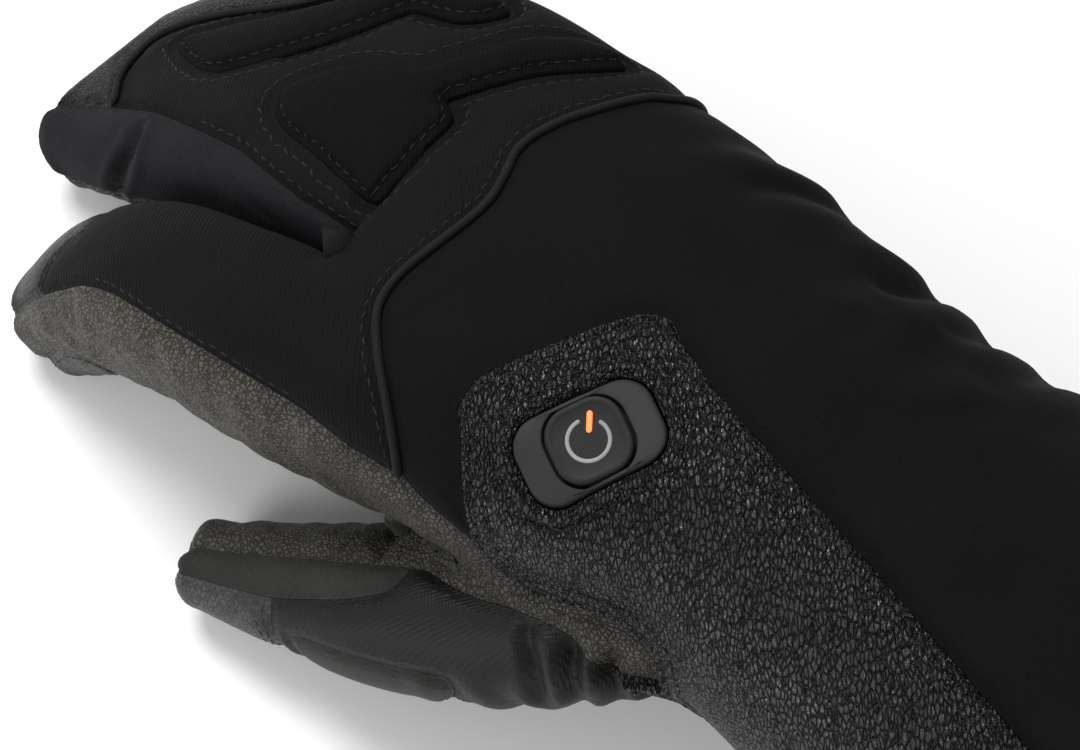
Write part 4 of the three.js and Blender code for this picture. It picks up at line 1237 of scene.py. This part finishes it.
def tube(name, X, N, radius, material, around=10, step=0.8, lift=0.0):
    p, t, n, total = resample(soften(X, 12), N, step / 1000)
    p = p + n * lift / 1000
    b = np.cross(t, n)
    r = np.full(len(p), radius / 1000)
    r[0] = r[-1] = radius * 0.5 / 1000
    a = np.linspace(0, 2 * math.pi, around, endpoint=False)
    V = (p[:, None] + r[:, None, None] * (np.cos(a)[None, :, None] * b[:, None] + np.sin(a)[None, :, None] * n[:, None])).reshape(-1, 3)
    F = []
    for i in range(len(p) - 1):
        for j in range(around):
            q, w = i * around + j, i * around + (j + 1) % around
            F += [(q, w, q + around), (w, w + around, q + around)]
    V = np.vstack([V, p[0] - t[0] * r[0] * 0.5, p[-1] + t[-1] * r[0] * 0.5])
    for j in range(around):
        F.append((len(V) - 2, (j + 1) % around, j))
        F.append((len(V) - 1, (len(p) - 1) * around + j, (len(p) - 1) * around + (j + 1) % around))
    ob = new_object(name, V, np.array(F), material, "glove")
    return ob


def seam_chain(la, lb):
    """the longest run of seam between two panels, as points"""
    want = {ID[la], ID[lb]}
    m = np.array([{a, b} == want for a, b in lab])
    E = key[m]
    nb = {}
    for a, b in E:
        nb.setdefault(a, []).append(b)
        nb.setdefault(b, []).append(a)
    best, seen = [], set()
    ends = [v for v, l in nb.items() if len(l) == 1] + list(nb)
    for s in ends:
        if s in seen:
            continue
        ch, at = [s], s
        seen.add(s)
        while True:
            nxt = [v for v in nb[at] if v not in seen]
            if not nxt:
                break
            at = nxt[0]
            seen.add(at)
            ch.append(at)
        if len(ch) > len(best):
            best = ch
    return np.array(best)


ch = seam_chain("knuckle_panel", "back_panel")
tube("piping_knuckles", to_world(P0[ch]), N1[ch], 0.95, "piping", lift=0.15)
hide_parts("piping")
ch = seam_chain("mitten_cap", "knuckle_panel")
tube("piping_fingertips", to_world(P0[ch]), N1[ch], 0.8, "piping", lift=0.1)

rows = rows_at("cuff_patch", D["patch"], 2.3) + rows_at("cuff_patch", D["patch"], 4.8) + rows_at("cuff_patch", D["switch"], 3.3)
stitches("stitches_patch", rows, "thread_black")
rows = rows_at("knuckle_pad", D["pad"], 1.15) + rows_at("finger_pad", D["pad"], 1.15) + rows_at("knuckle_panel", D["pad"], 3.0)
stitches("stitches_pads", rows, "thread_black")
rows = rows_at("knuckle_panel", D["piped"], 2.2) + rows_at("gauntlet_under", D["seam"], 1.8) + rows_at("cuff_hem", D["rim"], 5.5)
rows += rows_at("knuckle_panel", D["seam"], 1.5, lambda X: (X[:, 0] < -6) & (X[:, 1] < 0) & (X[:, 2] > 2))
stitches("stitches_fabric", rows, "thread_black")
hem = lambda X: X[:, 0] > -7
rows = rows_at("thumb_cap", D["seam"], 1.5, hem) + rows_at("thumb_cap", D["seam"], 3.4, hem) + rows_at("touch_tip", D["seam"], 1.5)
stitches("stitches_leather", rows, "thread_grey")


# ------------------------------------------------------------------ the switch
def rounded_rectangle(length, width, corner, n=8, bulge=0.0):
    pts = []
    for cx, cy, a0 in ((1, 1, 0), (-1, 1, 90), (-1, -1, 180), (1, -1, 270)):
        for k in range(n + 1):
            a = math.radians(a0 + 90 * k / n)
            pts.append((cx * (length / 2 - corner) + corner * math.cos(a), cy * (width / 2 - corner) + corner * math.sin(a)))
    P = np.array(pts)
    # even spacing
    L = np.concatenate([[0], np.cumsum(np.linalg.norm(np.diff(np.vstack([P, P[:1]]), axis=0), axis=1))])
    s = np.linspace(0, L[-1], 97)[:-1]
    Q = np.vstack([P, P[:1]])
    return np.stack([np.interp(s, L, Q[:, k]) for k in range(2)], 1)


def skin_drop(u, v):
    """how far the skin falls away under a point of the switch"""
    pts = SW_AT + np.outer(u, SW_U) + np.outer(v, SW_V)
    f = field(pts)
    for _ in range(2):
        f = f + field(pts - np.outer(f, SW_W))
    return f


def on_switch(u, v, w, follow=0.0):
    u, v, w = np.asarray(u, float), np.asarray(v, float), np.asarray(w, float)
    if follow:
        w = w - follow * skin_drop(u, v)
    return to_world(SW_AT + np.outer(u, SW_U) + np.outer(v, SW_V) + np.outer(w, SW_W))


def lofted(name, rings, material, body, follow=0.0, close=True):
    """rings of equal count from one end to the other; first and last are closed with a middle point, or joined for a frame"""
    n = len(rings[0][0])
    V = [on_switch(o[:, 0], o[:, 1], np.full(n, h) if np.isscalar(h) else h, follow) for o, h in rings]
    m = len(V)
    F = []
    for i in range(m - 1 if close else m):
        for j in range(n):
            a, b = i * n + j, i * n + (j + 1) % n
            c, d = ((i + 1) % m) * n + j, ((i + 1) % m) * n + (j + 1) % n
            F += [(a, b, c), (b, d, c)]
    V = np.concatenate(V)
    if close:
        V = np.vstack([V, V[:n].mean(0), V[-n:].mean(0)])
        for j in range(n):
            F.append((len(V) - 2, (j + 1) % n, j))
            F.append((len(V) - 1, (m - 1) * n + j, (m - 1) * n + (j + 1) % n))
    ob = new_object(name, V, np.array(F), material, body)
    bm = bmesh.new()
    bm.from_mesh(ob.data)
    bmesh.ops.recalc_face_normals(bm, faces=bm.faces)
    bm.to_mesh(ob.data)
    bm.free()
    return ob


def rr(inset, base="bezel"):
    if base == "bezel":
        return rounded_rectangle(29.9 - 2 * inset, 18.9 - 2 * inset, max(6.4 - inset, 0.8))
    return rounded_rectangle(16.5 - 2 * inset, 16.5 - 2 * inset, max(6.0 - inset, 0.8))


out_rings = [(rr(0.0), -1.8), (rr(0.0), 0.5), (rr(0.05), 0.85), (rr(0.2), 1.12), (rr(0.5), 1.28), (rr(1.0), 1.34)]
pocket = [(rr(-1.05, "button"), 1.36), (rr(-0.8, "button"), 1.34), (rr(-0.62, "button"), 1.2), (rr(-0.55, "button"), 0.9),
          (rr(-0.55, "button"), -0.8)]


def between(a, b, t):
    return a[0] * (1 - t) + b[0] * t, a[1] * (1 - t) + b[1] * t


mid_rings = [between(out_rings[-1], pocket[0], t) for t in (0.2, 0.4, 0.6, 0.8)]
mid_rings = [(o, h + 0.05 * math.sin(math.pi * (i + 1) / 5)) for i, (o, h) in enumerate(mid_rings)]
floor_rings = [(rr(1.5, "button"), -0.8), (rr(5.0, "button"), -0.8)]
bezel = lofted("bezel_moulding", out_rings + mid_rings + pocket + floor_rings, "bezel_rubber", "glove", follow=1.0)
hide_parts("switch_bezel")

top = 1.8
b_rings = [(rr(0.35, "button"), 0.2), (rr(0.05, "button"), 0.35), (rr(0, "button"), 0.7), (rr(0.0, "button"), top - 0.5), (rr(0.12, "button"), top - 0.22),
           (rr(0.35, "button"), top - 0.05), (rr(0.7, "button"), top), (rr(1.1, "button"), top), (rr(1.45, "button"), top - 0.1),
           (rr(1.9, "button"), top - 0.2), (rr(4.5, "button"), top - 0.2), (rr(6.5, "button"), top - 0.2)]
button = lofted("button_cap", b_rings, "button_rubber", "button")
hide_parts("power_button")

TURN = math.radians(-27)
ICON_U = (math.cos(TURN), math.sin(TURN))
ICON_V = (-math.sin(TURN), math.cos(TURN))


def icon_points(x, y):
    return x * ICON_U[0] + y * ICON_V[0], x * ICON_U[1] + y * ICON_V[1]


def raised_line(name, path, width, low, high, material, body):
    """a flat line with rounded ends and edges, following a path on the button"""
    X = np.array(path, float)
    T = np.gradient(X, axis=0)
    T /= np.linalg.norm(T, axis=1)[:, None]
    Nn = np.stack([-T[:, 1], T[:, 0]], 1)
    r = width / 2
    stations = []
    for k in range(4, 0, -1):
        a = math.pi / 2 * k / 4
        stations.append((X[0] - T[0] * r * math.sin(a), Nn[0], r * max(math.cos(a), 0.12)))
    for p, n in zip(X, Nn):
        stations.append((p, n, r))
    for k in range(1, 5):
        a = math.pi / 2 * k / 4
        stations.append((X[-1] + T[-1] * r * math.sin(a), Nn[-1], r * max(math.cos(a), 0.12)))
    prof = [(-1.0, low), (-1.0, high - 0.08), (-0.82, high), (0, high + 0.03), (0.82, high), (1.0, high - 0.08), (1.0, low)]
    V = []
    for p, n, w in stations:
        for s, h in prof:
            q = p + n * w * s
            u, v = icon_points(q[0], q[1])
            V.append((u, v, h))
    V = np.array(V)
    k = len(prof)
    F = []
    for i in range(len(stations) - 1):
        for j in range(k):
            a, b = i * k + j, i * k + (j + 1) % k
            F.append((a, b, b + k))
            F.append((a, b + k, a + k))
    for j in range(1, k - 1):
        F.append((0, j + 1, j))
        e = (len(stations) - 1) * k
        F.append((e, e + j, e + j + 1))
    ob = new_object(name, on_switch(V[:, 0], V[:, 1], V[:, 2]), np.array(F), material, body)
    bm = bmesh.new()
    bm.from_mesh(ob.data)
    bmesh.ops.recalc_face_normals(bm, faces=bm.faces)
    bm.to_mesh(ob.data)
    bm.free()
    return ob


gap = math.radians(64 / 2)
a = np.linspace(math.pi / 2 + gap, math.pi * 2.5 - gap, 60)
ring = raised_line("ring_inlay", np.stack([4.3 * np.cos(a), 4.3 * np.sin(a)], 1), 0.85, 1.32, 1.74, "ring_print", "button")
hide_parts("power_ring")
bar = raised_line("light_bar", np.stack([np.zeros(12), np.linspace(4.3 - 0.6 - 1.65, 4.3 - 0.6 + 1.65, 12)], 1), 1.15, 1.32, 1.78, "light", "button")
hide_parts("power_light")


# ------------------------------------------------------------------ floor, light and camera
def floor():
    me = bpy.data.meshes.new("floor")
    me.from_pydata([(-4, -4, 0), (4, -4, 0), (4, 4, 0), (-4, 4, 0)], [], [(0, 1, 2, 3)])
    ob = bpy.data.objects.new("floor", me)
    bpy.context.scene.collection.objects.link(ob)
    m = Nodes("floor")
    n = m.noise(3, 2)
    m.colour(n.outputs[0], [(0.3, grey(0.92)), (0.7, grey(0.94))])
    m.set(Roughness=0.9, Specular_IOR_Level=0.1)
    me.materials.append(m.m)


floor()
world = bpy.data.worlds.new("studio")
bpy.context.scene.world = world
world.use_nodes = True
world.node_tree.nodes["Background"].inputs["Color"].default_value = (1, 1, 1, 1)
world.node_tree.nodes["Background"].inputs["Strength"].default_value = 0.5
bpy.context.scene.view_settings.view_transform = "Standard"

BACK = np.array([0.37144293, -0.39832377, 0.83867057])
RIGHT = np.array([0.79560815, 0.60216448, -0.0663748])
UP = np.array([-0.47857896, 0.69190759, 0.54057938])
EYE = np.array([273.38199553, -293.16629789, 617.26153801])


def lamp(name, right, up, back, size, power, aim=(20, -5, 10)):
    """a soft square lamp, its place given from the glove along the camera's own directions, metres"""
    d = bpy.data.lights.new(name, "AREA")
    d.shape, d.size, d.energy = "SQUARE", size, power
    o = bpy.data.objects.new(name, d)
    bpy.context.scene.collection.objects.link(o)
    target = Vector(to_world(np.array([aim], float))[0])
    v = to_world_dir(RIGHT) * right + to_world_dir(UP) * up + to_world_dir(BACK) * back
    o.location = target + v
    o.rotation_euler = v.to_track_quat("Z", "Y").to_euler()
    return o


lamp("key", -0.5, 1.2, 0.9, 0.7, 22)
lamp("side", -1.2, -0.5, 0.8, 0.7, 9)

px = np.array([(540 - 473.2062) / 3480, -(375 - 268.0692) / 3480])
d = px[0] * RIGHT + px[1] * UP - BACK
d /= np.linalg.norm(d)
nb = -d
nr = RIGHT - nb * (RIGHT @ nb)
nr /= np.linalg.norm(nr)
nu = np.cross(nb, nr)
cam_data = bpy.data.cameras.new("camera")
cam_data.sensor_fit = "HORIZONTAL"
cam_data.sensor_width = 36
cam_data.lens = 3480 * 36 / 1080
cam_data.clip_start = 0.02
cam_data.clip_end = 20
camera = bpy.data.objects.new("camera", cam_data)
bpy.context.scene.collection.objects.link(camera)
R = Matrix([to_world_dir(nr), to_world_dir(nu), to_world_dir(nb)]).transposed()
camera.matrix_world = Matrix.Translation(Vector(to_world(EYE[None])[0])) @ R.to_4x4()
bpy.context.scene.camera = camera
